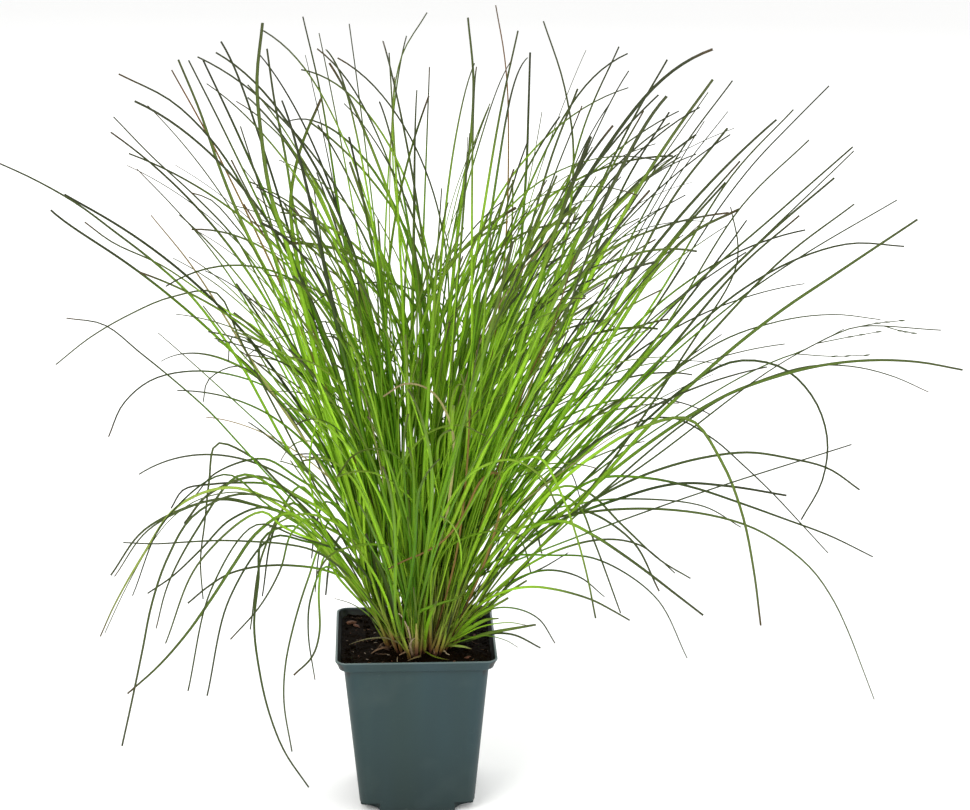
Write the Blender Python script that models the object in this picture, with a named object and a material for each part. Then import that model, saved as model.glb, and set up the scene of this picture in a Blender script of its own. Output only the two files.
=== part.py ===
"""Potted ornamental grass clump: a square nursery pot, its peat root ball, the crown and the leaves.

Metres, +Z up. The origin is the middle of the pot's underside, on the ground; +X is to the plant's right,
+Y is to its back. Design values below are in millimetres and are scaled when a mesh is made.
"""

import math

import bmesh
import bpy
import numpy as np
from mathutils import Vector

NAME = "Potted_ornamental_grass_clump"
MM = 0.001

# ---- driving dimensions (mm) -------------------------------------------------------------------
POT_HEIGHT = 95.0  # ground to the top of the rim
RIM_HALF = 45.0  # half the outer width of the rim at its top
RIM_FOOT_HALF = 43.0  # the same at the collar's lower edge
RIM_FOOT_Z = 89.6  # lower edge of the stepped-out collar
NECK_HALF = 40.35  # half the width of the wall just under the collar
NECK_Z = 88.5
FOOT_HALF = 32.0  # half the width of the pot at the ground
WALL = 1.05  # plastic thickness
FLOOR = 1.3
CORNER_R = (5.5, 6.5)  # outer corner radius at the ground and at the rim
NOTCH_R = 11.0  # each bottom corner is raised over a quarter circle of this radius
NOTCH_Z = 5.5  # by this much
DRAIN_R = 2.4  # drain hole in each raised corner
DRAIN_AT = 27.4
GAP = 0.35  # between pieces that touch

SOIL_Z = 90.6  # level of the peat, 4.4 mm under the rim
CROWN_RX, CROWN_RY, CROWN_H = 23.5, 21.5, 5.6  # the mound of tiller bases
CROWN_X, CROWN_Y = 2.0, -9.0
BASE_SPREAD = 0.84  # the leaves start within this part of the mound

LEAF_THICK = 0.75
TUFT_THICK = 4.4

# Each leaf: width, how far its tip stands to the back (+) or the front (-), and the points (x, z) that it
# passes in the front elevation, from the crown to the tip. The depth grows along the leaf by DEPTH_POWER.
DEPTH_POWER = 1.2
LEAVES = [
    # the upright fan on the left
    (2.8, 20, [(-40, 185), (-65, 275), (-85, 315), (-100, 350), (-115, 395), (-125, 420)]),
    (1.7, -60, [(-45, 215), (-80, 345), (-90, 365), (-105, 390), (-130, 415), (-150, 425)]),
    (1.5, 60, [(-45, 230), (-90, 305), (-110, 330), (-135, 352), (-165, 382)]),
    (1.5, -30, [(-50, 210), (-80, 275), (-95, 305), (-115, 335), (-145, 370)]),
    (3.0, -90, [(-40, 210), (-60, 310), (-66, 335), (-74, 365), (-77, 390), (-79, 420), (-75, 455)]),
    (2.0, 90, [(-45, 215), (-64, 315), (-69, 350), (-75, 380), (-80, 415)]),
    (3.2, -20, [(-40, 220), (-65, 335), (-64, 360), (-57, 385), (-48, 405)]),
    # the long leaves reaching out to the left
    (1.9, -20, [(-40, 160), (-70, 210), (-95, 260), (-122, 300), (-155, 330), (-187, 355), (-223, 374)]),
    (1.4, 50, [(-45, 160), (-80, 230), (-93, 255), (-109, 288), (-120, 289), (-170, 267), (-202, 242)]),
    (1.3, -60, [(-45, 155), (-80, 200), (-115, 245), (-135, 265), (-162, 291), (-170, 296), (-176, 291), (-182, 297)]),
    (1.4, 80, [(-45, 180), (-75, 225), (-100, 235), (-125, 236), (-147, 230), (-165, 215), (-177, 190)]),
    # the leaves that arch over and hang on the left
    (1.9, -75, [(-45, 145), (-65, 170), (-75, 176), (-82, 170), (-87, 135), (-89, 115), (-86, 95), (-80, 70), (-70, 48), (-60, 35)]),
    (1.6, -60, [(-45, 155), (-70, 182), (-95, 190), (-120, 180), (-131, 165), (-142, 140), (-148, 115), (-156, 80), (-162, 55)]),
    (2.5, -90, [(-45, 155), (-63, 180), (-75, 184), (-90, 170), (-105, 150), (-120, 130), (-137, 112), (-155, 98)]),
    (1.7, -40, [(-24, 120), (-36, 133), (-52, 142), (-70, 146), (-88, 147), (-106, 143), (-125, 130)]),
    (1.8, -110, [(-33, 140), (-55, 165), (-100, 180), (-137, 186), (-152, 190)]),
    (1.7, 30, [(-40, 150), (-75, 178), (-98, 180), (-120, 177), (-136, 171), (-138, 162)]),
    (1.6, -20, [(-45, 155), (-77, 192), (-95, 210), (-107, 215), (-115, 175), (-119, 145), (-118, 125)]),
    # the long arches low on the right
    (2.1, 20, [(38, 130), (65, 158), (98, 166), (125, 167), (155, 164), (185, 156), (208, 143), (228, 125), (244, 100), (256, 72), (268, 42)]),
    (1.9, 60, [(55, 135), (98, 165), (130, 179), (160, 186), (190, 188), (220, 181), (252, 168), (262, 158)]),
    (1.9, -50, [(55, 152), (95, 192), (117, 196), (152, 191), (195, 177), (222, 168), (250, 155)]),
    (1.7, 100, [(85, 182), (135, 208), (160, 202), (178, 187), (208, 157), (252, 105)]),
    (2.3, -100, [(80, 200), (130, 238), (145, 240), (158, 226), (169, 203), (176, 180), (182, 135)]),
    (1.9, -120, [(42, 195), (54, 222), (63, 225), (75, 208), (82, 190), (87, 173), (92, 148)]),
    (2.1, -70, [(55, 160), (72, 176), (88, 173), (112, 160), (155, 130)]),
    (1.7, 40, [(35, 110), (55, 126), (80, 138), (108, 142), (130, 136), (152, 115)]),
    (1.9, -50, [(38, 122), (50, 130), (66, 134), (95, 130), (117, 120)]),
    (2.3, -25, [(30, 97), (40, 101), (67, 109)]),
    # the fan on the right
    (2.3, 10, [(70, 155), (140, 213), (185, 238), (210, 245), (235, 250), (260, 251), (292, 248), (308, 244)]),
    (1.7, 120, [(85, 150), (172, 210), (218, 225), (248, 226), (285, 215), (313, 200)]),
    (2.3, -80, [(70, 155), (136, 240), (185, 290), (212, 312), (260, 350)]),
    (1.7, 50, [(105, 215), (192, 290), (238, 308), (260, 309), (280, 306)]),
    (1.5, 110, [(90, 195), (165, 270), (260, 350)]),
    (1.8, 60, [(85, 170), (160, 235), (188, 245), (212, 238), (226, 225), (238, 200), (240, 180), (236, 157), (228, 140)]),
    # tall blades in the middle
    (2.3, -40, [(15, 235), (25, 345), (30, 380), (32, 415), (29, 450)]),
    (2.1, 70, [(50, 225), (64, 335), (68, 415)]),
    (1.7, -90, [(55, 240), (80, 345), (80, 405), (65, 455)]),
    (2.5, -120, [(55, 230), (115, 375), (147, 430)]),
    (2.7, -60, [(58, 190), (95, 260), (140, 333), (170, 352)]),
    (1.3, 40, [(70, 195), (125, 265), (183, 350), (232, 400)]),
]
# Each lock of leaves, in the same way.
TUFTS = [
    (8.0, -50, [(-40, 200), (-60, 280), (-85, 385)]),
    (9.0, 70, [(-35, 200), (-55, 280), (-65, 385)]),
    (9.0, -110, [(-25, 205), (-40, 290), (-45, 390)]),
    (9.0, 130, [(-20, 190), (-25, 255), (-35, 350)]),
    (9.0, -185, [(-10, 195), (-15, 270), (-25, 330)]),
    (9.0, 190, [(-5, 185), (-5, 260), (10, 320)]),
    (9.0, -150, [(5, 200), (10, 290), (15, 360)]),
    (9.0, 60, [(10, 200), (20, 280), (35, 380)]),
    (9.0, -70, [(20, 210), (35, 300), (50, 410)]),
    (9.0, 140, [(25, 190), (45, 270), (85, 345)]),
    (9.0, -110, [(30, 215), (60, 305), (90, 395)]),
    (9.0, 70, [(40, 195), (80, 280), (130, 345)]),
    (9.0, -40, [(40, 200), (85, 265), (145, 355)]),
    (9.0, 90, [(50, 180), (100, 225), (200, 285)]),
    (8.0, -90, [(45, 185), (95, 230), (165, 275)]),
    (8.0, 110, [(-35, 155), (-70, 200), (-130, 245)]),
    (7.0, 150, [(15, 150), (30, 175), (55, 170)]),
]


# ---- how the leaves run -----------------------------------------------------------------------
def dome_z(x, y):
    """Height of the crown's surface over a point of its footprint."""
    q2 = ((x - CROWN_X) / CROWN_RX) ** 2 + ((y - CROWN_Y) / CROWN_RY) ** 2
    return SOIL_Z + GAP + CROWN_H * (1.0 - min(q2, 1.0))


def smooth_path(points, count):
    """A Catmull-Rom curve through the points, read at equal steps of its length."""
    p = np.array(points, float)
    p = np.vstack([2 * p[0] - p[1], p, 2 * p[-1] - p[-2]])
    fine = []
    for i in range(1, len(p) - 2):
        a, b, c, d = p[i - 1], p[i], p[i + 1], p[i + 2]
        ta = np.linalg.norm(b - a) ** 0.5
        tb = ta + np.linalg.norm(c - b) ** 0.5
        tc = tb + np.linalg.norm(d - c) ** 0.5
        for t in np.linspace(ta, tb, 24, endpoint=False):
            a1 = (ta - t) / ta * a + t / ta * b
            a2 = (tb - t) / (tb - ta) * b + (t - ta) / (tb - ta) * c
            a3 = (tc - t) / (tc - tb) * c + (t - tb) / (tc - tb) * d
            b1 = (tb - t) / tb * a1 + t / tb * a2
            b2 = (tc - t) / (tc - ta) * a2 + (t - ta) / (tc - ta) * a3
            fine.append((tb - t) / (tb - ta) * b1 + (t - ta) / (tb - ta) * b2)
    fine = np.array(fine + [p[-2]])
    length = np.concatenate([[0], np.cumsum(np.linalg.norm(np.diff(fine, axis=0), axis=1))])
    at = np.linspace(0, length[-1], count)
    return np.stack([np.interp(at, length, fine[:, k]) for k in range(3)], axis=1)


def ring_count(width, path):
    length = sum(math.dist(a, b) for a, b in zip(path[:-1], path[1:]))
    return int(min(24, max(12, round(length / 19)))) if width < 4 else 13


def spread_bases(table):
    """Where each leaf leaves the crown: out towards its own side, and none closer than their widths need."""
    n = len(table)
    reach = np.zeros((n, 2))
    size = np.zeros(n)
    for i, (width, depth, path) in enumerate(table):
        x, z = path[0]
        share = math.hypot(x, z - 90) / (math.hypot(x, z - 90) + sum(math.dist(a, b) for a, b in zip(path[:-1], path[1:])))
        reach[i] = (x - CROWN_X, depth * share**DEPTH_POWER * 1.6 - CROWN_Y)
        size[i] = 1.9 if width > 4 else 1.15
    spot = np.zeros((n, 2))
    for i in range(n):
        far = np.hypot(*reach[i])
        turn = i * 2.399963
        spot[i] = reach[i] / max(far, 1e-6) * min(1.0, (far / 62.0) ** 0.75) * 17.0
        spot[i] += 0.8 * np.array([math.cos(turn), math.sin(turn)])
    for _ in range(400):
        gap = spot[:, None] - spot[None]
        dist = np.hypot(gap[..., 0], gap[..., 1]) + 1e-9
        need = size[:, None] + size[None] + 0.75
        push = np.where(dist < need, (need - dist) / dist, 0.0)
        np.fill_diagonal(push, 0.0)
        spot += 0.25 * (gap * push[..., None]).sum(axis=1)
        q = np.hypot(spot[:, 0] / (CROWN_RX * BASE_SPREAD), spot[:, 1] / (CROWN_RY * BASE_SPREAD))
        spot /= np.maximum(q, 1.0)[:, None]
    return spot + np.array([CROWN_X, CROWN_Y])


def widths(width, count):
    """Full width and thickness of each ring: a round base, the widest part near the lower third, a narrow tip."""
    t = np.linspace(0, 1, count)
    if width > 4:  # a lock
        wide = np.interp(t, [0, 0.12, 0.45, 0.75, 1], [3.2, 4.6, width, 0.8 * width, 2.4])
        thick = np.interp(t, [0, 0.12, 0.45, 0.8, 1], [2.6, 3.2, TUFT_THICK, 2.4, 1.0])
    else:
        wide = np.interp(t, [0, 0.15, 0.35, 0.7, 1], [0.85 * width, 0.95 * width, width, 0.85 * width, 0.45 * width])
        wide = np.maximum(wide, 0.8)
        thick = np.interp(t, [0, 0.2, 1], [min(1.4, 0.8 * width), LEAF_THICK, 0.6 * LEAF_THICK])
    return wide, thick


def nearest_on_segments(p1, q1, p2, q2):
    """For pairs of segments: where each is nearest to the other, as shares of its length."""
    d1, d2, r = q1 - p1, q2 - p2, p1 - p2
    a, e = (d1 * d1).sum(1), (d2 * d2).sum(1)
    b, c, f = (d1 * d2).sum(1), (d1 * r).sum(1), (d2 * r).sum(1)
    den = a * e - b * b
    s = np.where(den > 1e-9, np.clip((b * f - c * e) / np.maximum(den, 1e-9), 0, 1), 0.5)
    t = np.clip((b * s + f) / e, 0, 1)
    s = np.clip((b * t - c) / a, 0, 1)
    return s, t


def part_the_leaves(paths, radii, steps=400):
    """Moves the leaves aside, mostly by bending them, until none runs through another."""
    count = [len(p) for p in paths]
    start = np.concatenate([[0], np.cumsum(count)])
    points = np.vstack(paths)
    radius = np.concatenate(radii)
    owner = np.concatenate([np.full(c, i) for i, c in enumerate(count)])
    first = np.concatenate([np.arange(start[i], start[i + 1] - 1) for i in range(len(paths))])
    hold = np.ones(len(points))
    for i in range(len(paths)):
        hold[start[i]] = 0.0
        hold[start[i] + 1] = 0.6
    seg_r = np.maximum(radius[first], radius[first + 1])
    ia, ib = np.triu_indices(len(first), 1)
    keep = owner[first[ia]] != owner[first[ib]]
    ia, ib = ia[keep], ib[keep]
    near = None
    for step in range(steps):
        if step % 8 == 0:
            mid = 0.5 * (points[first] + points[first + 1])
            half = 0.5 * np.linalg.norm(points[first + 1] - points[first], axis=1) + seg_r
            near = np.linalg.norm(mid[ia] - mid[ib], axis=1) < half[ia] + half[ib] + 6.0
        a, b = ia[near], ib[near]
        fa, fb = first[a], first[b]
        s, t = nearest_on_segments(points[fa], points[fa + 1], points[fb], points[fb + 1])
        ca = points[fa] + (points[fa + 1] - points[fa]) * s[:, None]
        cb = points[fb] + (points[fb + 1] - points[fb]) * t[:, None]
        apart = ca - cb
        dist = np.linalg.norm(apart, axis=1)
        need = radius[fa] * (1 - s) + radius[fa + 1] * s + radius[fb] * (1 - t) + radius[fb + 1] * t + 0.5
        bad = dist < need
        if not bad.any():
            break
        fa, fb, s, t, apart, dist, need = fa[bad], fb[bad], s[bad], t[bad], apart[bad], dist[bad], need[bad]
        side = apart / np.maximum(dist, 1e-6)[:, None]
        side[dist < 1e-3] = (0, 1, 0)
        push = side * (need - dist + 0.05)[:, None] * 0.55
        move = np.zeros_like(points)
        weight = np.zeros(len(points))
        for rows, share, sign in ((fa, 1 - s, 1), (fa + 1, s, 1), (fb, 1 - t, -1), (fb + 1, t, -1)):
            np.add.at(move, rows, sign * push * share[:, None])
            np.add.at(weight, rows, share)
        move /= np.maximum(weight, 1.0)[:, None]
        for i in range(len(paths)):
            part = move[start[i] : start[i + 1]]
            eased = part.copy()
            eased[1:-1] = 0.5 * part[1:-1] + 0.35 * (part[:-2] + part[2:])
            move[start[i] : start[i + 1]] = eased
        points += move * hold[:, None]
        points[:, 2] = np.maximum(points[:, 2], 4.0)
    return [points[start[i] : start[i + 1]] for i in range(len(paths))]


def lay_out():
    """The path of every leaf and lock, as points in millimetres."""
    table = LEAVES + TUFTS
    bases = spread_bases(table)
    paths, radii = [], []
    for (width, depth, elevation), (bx, by) in zip(table, bases):
        bz = dome_z(bx, by) + 0.6 + 0.5 * widths(width, 3)[0][0]
        front = np.array([(bx, bz)] + elevation)
        run = np.concatenate([[0], np.cumsum(np.hypot(*np.diff(front, axis=0).T))])
        y = by + (depth - by) * (run / run[-1]) ** DEPTH_POWER
        count = ring_count(width, elevation)
        paths.append(smooth_path([(x, d, z) for (x, z), d in zip(front, y)], count))
        wide, thick = widths(width, count)
        radii.append(0.5 * (wide if width < 4 else 0.5 * (wide + thick) + 0.4))
    return part_the_leaves(paths, radii)


# ---- shapes ------------------------------------------------------------------------------------
def rounded_square(half, radius, z, per_corner=5):
    ring = []
    for corner in range(4):
        cx = (half - radius) * (1 if corner in (0, 3) else -1)
        cy = (half - radius) * (1 if corner in (0, 1) else -1)
        for k in range(per_corner + 1):
            a = math.pi / 2 * (corner + k / per_corner)
            ring.append((cx + radius * math.cos(a), cy + radius * math.sin(a), z))
    return ring


def loft(name, rings, collection, material=None, origin=(0, 0, 0), smooth=True):
    """A closed solid through rings of equally many points, lowest first, with both ends capped."""
    bm = bmesh.new()
    made = [[bm.verts.new(Vector(p) * MM - Vector(origin) * MM) for p in ring] for ring in rings]
    n = len(rings[0])
    for low, high in zip(made[:-1], made[1:]):
        for k in range(n):
            bm.faces.new((low[k], low[(k + 1) % n], high[(k + 1) % n], high[k]))
    bm.faces.new(list(reversed(made[0])))
    bm.faces.new(made[-1])
    bmesh.ops.recalc_face_normals(bm, faces=bm.faces)
    mesh = bpy.data.meshes.new(name)
    bm.to_mesh(mesh)
    bm.free()
    if smooth:
        mesh.shade_smooth()
        mesh.set_sharp_from_angle(angle=math.radians(35))
    obj = bpy.data.objects.new(name, mesh)
    obj.location = Vector(origin) * MM
    collection.objects.link(obj)
    if material:
        mesh.materials.append(material)
    return obj


def cylinder(name, radius, low, high, x, y, collection, segments=28):
    bm = bmesh.new()
    bmesh.ops.create_cone(
        bm, cap_ends=True, segments=segments, radius1=radius * MM, radius2=radius * MM, depth=(high - low) * MM
    )
    mesh = bpy.data.meshes.new(name)
    bm.to_mesh(mesh)
    bm.free()
    obj = bpy.data.objects.new(name, mesh)
    obj.location = Vector((x, y, 0.5 * (low + high))) * MM
    collection.objects.link(obj)
    obj.hide_render = True
    obj.display_type = "WIRE"
    return obj


def cut(obj, cutter):
    mod = obj.modifiers.new("cut_" + cutter.name, "BOOLEAN")
    mod.operation = "DIFFERENCE"
    mod.object = cutter
    mod.solver = "EXACT"


def material(name, color, roughness, specular=0.5):
    mat = bpy.data.materials.new(name)
    mat.use_nodes = True
    shader = mat.node_tree.nodes["Principled BSDF"]
    shader.inputs["Base Color"].default_value = (*color, 1.0)
    shader.inputs["Roughness"].default_value = roughness
    shader.inputs["Metallic"].default_value = 0.0
    shader.inputs["Specular IOR Level"].default_value = specular
    mat.diffuse_color = (*color, 1.0)
    return mat


def wall_half(z):
    """Outer half width of the pot's wall at a height under the collar."""
    return FOOT_HALF + (NECK_HALF - FOOT_HALF) * z / NECK_Z


def corner_r(z):
    return CORNER_R[0] + (CORNER_R[1] - CORNER_R[0]) * z / POT_HEIGHT


def collar_in(z):
    """Half the inner width of the pot at a height within its collar."""
    return float(np.interp(z, [NECK_Z, RIM_FOOT_Z + 0.6, POT_HEIGHT], [wall_half(NECK_Z) - WALL, RIM_FOOT_HALF - WALL, RIM_HALF - 0.1 - WALL]))


def make_pot(parts, cutters, parent):
    outer = [
        (FOOT_HALF - 0.5, 0.0),
        (wall_half(0.6), 0.6),
        (wall_half(NECK_Z), NECK_Z),
        (RIM_FOOT_HALF - 0.7, RIM_FOOT_Z - 0.6),
        (RIM_FOOT_HALF, RIM_FOOT_Z + 0.2),
        (RIM_HALF - 0.1, POT_HEIGHT - 0.4),
        (RIM_HALF - 0.4, POT_HEIGHT),
    ]
    pot = loft(
        "pot",
        [rounded_square(h, corner_r(z), z) for h, z in outer],
        parts,
        material("pot_plastic", (0.055, 0.085, 0.082), 0.5),
    )
    pot.parent = parent
    inner = [
        (wall_half(FLOOR) - WALL, FLOOR),
        (wall_half(NECK_Z) - WALL, NECK_Z),
        (RIM_FOOT_HALF - WALL, RIM_FOOT_Z + 0.6),
        (RIM_HALF - 0.1 - WALL, POT_HEIGHT),
        (RIM_HALF + 0.1 - WALL, POT_HEIGHT + 3),
    ]
    cavity = loft("cavity", [rounded_square(h, corner_r(z) - 1.0, z) for h, z in inner], cutters)
    cavity.hide_render = True
    cavity.display_type = "WIRE"
    at = 0
    for sx in (-1, 1):
        for sy in (-1, 1):
            at += 1
            x, y = sx * FOOT_HALF, sy * FOOT_HALF
            cut(cavity, cylinder(f"shelf_{at}", NOTCH_R + WALL, -4, NOTCH_Z + FLOOR, x, y, cutters))
            cut(pot, cylinder(f"notch_{at}", NOTCH_R, -3, NOTCH_Z, x, y, cutters))
            cut(pot, cylinder(f"drain_{at}", DRAIN_R, NOTCH_Z - 2, NOTCH_Z + FLOOR + 2, sx * DRAIN_AT, sy * DRAIN_AT, cutters, 14))
    cut(pot, cavity)
    return pot


def make_soil(parts, cutters, parent):
    """The root ball: the pot's inside less a hair's gap, with a slightly uneven top."""
    rings = []
    for z in (FLOOR + GAP, NECK_Z - 0.4):
        rings.append(rounded_square(wall_half(z) - WALL - GAP, corner_r(z) - 1.0, z))
    rings.append(rounded_square(collar_in(NECK_Z) - 2 * GAP, corner_r(NECK_Z) - 1.0, NECK_Z))
    rings.append(rounded_square(collar_in(SOIL_Z - 0.8) - 2 * GAP, corner_r(SOIL_Z) - 1.0, SOIL_Z - 0.8))

    def rough(x, y):
        flat = min(1.0, max(0.0, (math.hypot(x, y) - 26.0) / 5.0))
        wave = math.sin(0.33 * x + 1.1) * math.cos(0.29 * y - 0.4) + 0.6 * math.sin(0.71 * x - 0.53 * y)
        return -0.7 * flat * (0.5 + 0.5 * wave / 1.6)

    edge = collar_in(SOIL_Z) - 1.5 * GAP - 0.25
    for share in (1.0, 0.88, 0.72, 0.5):
        ring = rounded_square(edge * share, corner_r(SOIL_Z) * share - 1.0 * share, SOIL_Z)
        rings.append([(x, y, z + rough(x, y)) for x, y, z in ring])
    soil = loft("soil", rings, parts, material("peat", (0.011, 0.009, 0.006), 0.95, 0.2))
    soil.parent = parent
    at = 0
    for sx in (-1, 1):
        for sy in (-1, 1):
            at += 1
            cut(
                soil,
                cylinder(
                    f"soil_corner_{at}", NOTCH_R + WALL + GAP, -4, NOTCH_Z + FLOOR + GAP, sx * FOOT_HALF, sy * FOOT_HALF, cutters
                ),
            )
    return soil


def make_crown(parts, parent):
    """The mound of packed tiller bases."""
    rings = []
    for q in (1.0, 0.93, 0.8, 0.6, 0.32):
        ring = []
        for k in range(24):
            a = 2 * math.pi * k / 24
            x, y = CROWN_X + q * CROWN_RX * math.cos(a), CROWN_Y + q * CROWN_RY * math.sin(a)
            ring.append((x, y, dome_z(x, y)))
        rings.append(ring)
    crown = loft("crown", rings, parts, material("tiller_bases", (0.12, 0.10, 0.035), 0.8, 0.3), (CROWN_X, CROWN_Y, SOIL_Z))
    crown.parent = parent
    return crown


def make_leaf(name, path, width, turn, parts, mat, parent):
    """A blade: sections across the path, round at the crown and flat further out, carried along without twisting."""
    count = len(path)
    tangent = np.gradient(path, axis=0)
    tangent /= np.linalg.norm(tangent, axis=1)[:, None]
    out = np.array([path[-1][0] - path[0][0], path[-1][1] - path[0][1], 0.0])
    out /= max(np.linalg.norm(out), 1e-6)
    face = out - tangent[0] * (out @ tangent[0])
    face /= np.linalg.norm(face)
    wide, thick = widths(width, count)
    sides = 6 if width > 4 else 4
    rings = []
    for k in range(count):
        face = face - tangent[k] * (face @ tangent[k])
        face /= np.linalg.norm(face)
        across = np.cross(tangent[k], face)
        u = math.cos(turn) * across + math.sin(turn) * face
        v = np.cross(u, tangent[k])
        ring = []
        for j in range(sides):
            a = 2 * math.pi * j / sides
            ring.append(tuple(path[k] + u * (0.5 * wide[k] * math.cos(a)) + v * (0.5 * thick[k] * math.sin(a))))
        rings.append(ring)
    leaf = loft(name, rings, parts, mat, tuple(path[0]))
    leaf.parent = parent
    return leaf


def main():
    for obj in list(bpy.data.objects):
        bpy.data.objects.remove(obj, do_unlink=True)
    scene = bpy.context.scene
    parts = bpy.data.collections.new(NAME)
    cutters = bpy.data.collections.new("cutters")
    scene.collection.children.link(parts)
    scene.collection.children.link(cutters)
    root = bpy.data.objects.new("plant_root", None)
    parts.objects.link(root)

    make_pot(parts, cutters, root)
    make_soil(parts, cutters, root)
    make_crown(parts, root)

    paths = lay_out()
    for i, (row, path) in enumerate(zip(LEAVES + TUFTS, paths)):
        lock = i >= len(LEAVES)
        name = f"tuft_{i - len(LEAVES) + 1:02d}" if lock else f"leaf_{i + 1:02d}"
        shade = 0.5 + 0.5 * math.sin(1.7 * i)
        color = (0.075 + 0.05 * shade, 0.17 + 0.08 * shade, 0.02 + 0.01 * shade)
        make_leaf(name, path, row[0], 0.9 * math.sin(2.1 * i + 0.5), parts, material(name + "_green", color, 0.55), root)


main()
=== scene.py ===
import math

import bmesh
import bpy
import numpy as np
from mathutils import Matrix, Vector, noise


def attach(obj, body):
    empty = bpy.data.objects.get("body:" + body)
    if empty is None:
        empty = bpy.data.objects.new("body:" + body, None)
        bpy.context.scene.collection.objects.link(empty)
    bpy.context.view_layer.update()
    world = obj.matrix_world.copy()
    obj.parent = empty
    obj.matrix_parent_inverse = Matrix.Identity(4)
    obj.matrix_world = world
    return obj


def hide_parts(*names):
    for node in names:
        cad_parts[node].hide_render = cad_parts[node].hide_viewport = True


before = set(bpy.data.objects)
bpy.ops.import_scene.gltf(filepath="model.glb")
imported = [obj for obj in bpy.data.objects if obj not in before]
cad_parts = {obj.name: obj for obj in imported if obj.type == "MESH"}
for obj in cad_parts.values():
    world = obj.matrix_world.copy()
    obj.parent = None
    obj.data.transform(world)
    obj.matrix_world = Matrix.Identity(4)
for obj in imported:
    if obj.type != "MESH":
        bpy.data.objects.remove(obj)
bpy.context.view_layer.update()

MM = 0.001
RNG = np.random.default_rng(20)

# =================================================================================================
# Camera, floor and light
# =================================================================================================
scene = bpy.context.scene
scene.view_settings.view_transform = "Standard"
scene.view_settings.look = "None"

cam = bpy.data.objects.new("camera", bpy.data.cameras.new("camera"))
cam.data.lens = 100.2
cam.data.sensor_width = 36.0
cam.data.clip_end = 60
cam.location = (-0.0206, -1.4368, 0.6448)
cam.rotation_euler = (math.radians(90 - 16.1), 0, math.radians(-2.4))
scene.collection.objects.link(cam)
scene.camera = cam

world = bpy.data.worlds.new("studio")
world.use_nodes = True
world.node_tree.nodes["Background"].inputs["Color"].default_value = (1.0, 1.0, 1.0, 1)
world.node_tree.nodes["Background"].inputs["Strength"].default_value = 1.0
scene.world = world


def area(name, at, aim, size, power, color=(1, 1, 1)):
    lamp = bpy.data.lights.new(name, "AREA")
    lamp.shape = "RECTANGLE"
    lamp.size, lamp.size_y = size
    lamp.energy = power
    lamp.color = color
    o = bpy.data.objects.new(name, lamp)
    o.location = at
    o.rotation_euler = (Vector(aim) - Vector(at)).to_track_quat("-Z", "Y").to_euler()
    scene.collection.objects.link(o)


area("key", (-1.2, -1.7, 1.9), (0.02, 0, 0.25), (1.4, 1.2), 38.0, (1.0, 0.99, 0.97))
area("fill", (1.8, -1.3, 1.1), (0.02, 0, 0.22), (1.6, 1.6), 17.0, (0.98, 0.99, 1.0))
area("back", (0.3, 1.9, 1.7), (0.02, 0, 0.28), (1.8, 1.2), 22.0)

floor_mesh = bpy.data.meshes.new("floor")
floor_mesh.from_pydata([(-9, -9, -0.0004), (9, -9, -0.0004), (9, 12, -0.0004), (-9, 12, -0.0004)], [], [(0, 1, 2, 3)])
floor = bpy.data.objects.new("floor", floor_mesh)
scene.collection.objects.link(floor)
floor_mat = bpy.data.materials.new("floor_paper")
floor_mat.use_nodes = True
floor_mat.node_tree.nodes["Principled BSDF"].inputs["Base Color"].default_value = (0.93, 0.93, 0.925, 1)
floor_mat.node_tree.nodes["Principled BSDF"].inputs["Roughness"].default_value = 0.9
floor_mat.node_tree.nodes["Principled BSDF"].inputs["Specular IOR Level"].default_value = 0.1
floor_mesh.materials.append(floor_mat)


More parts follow.
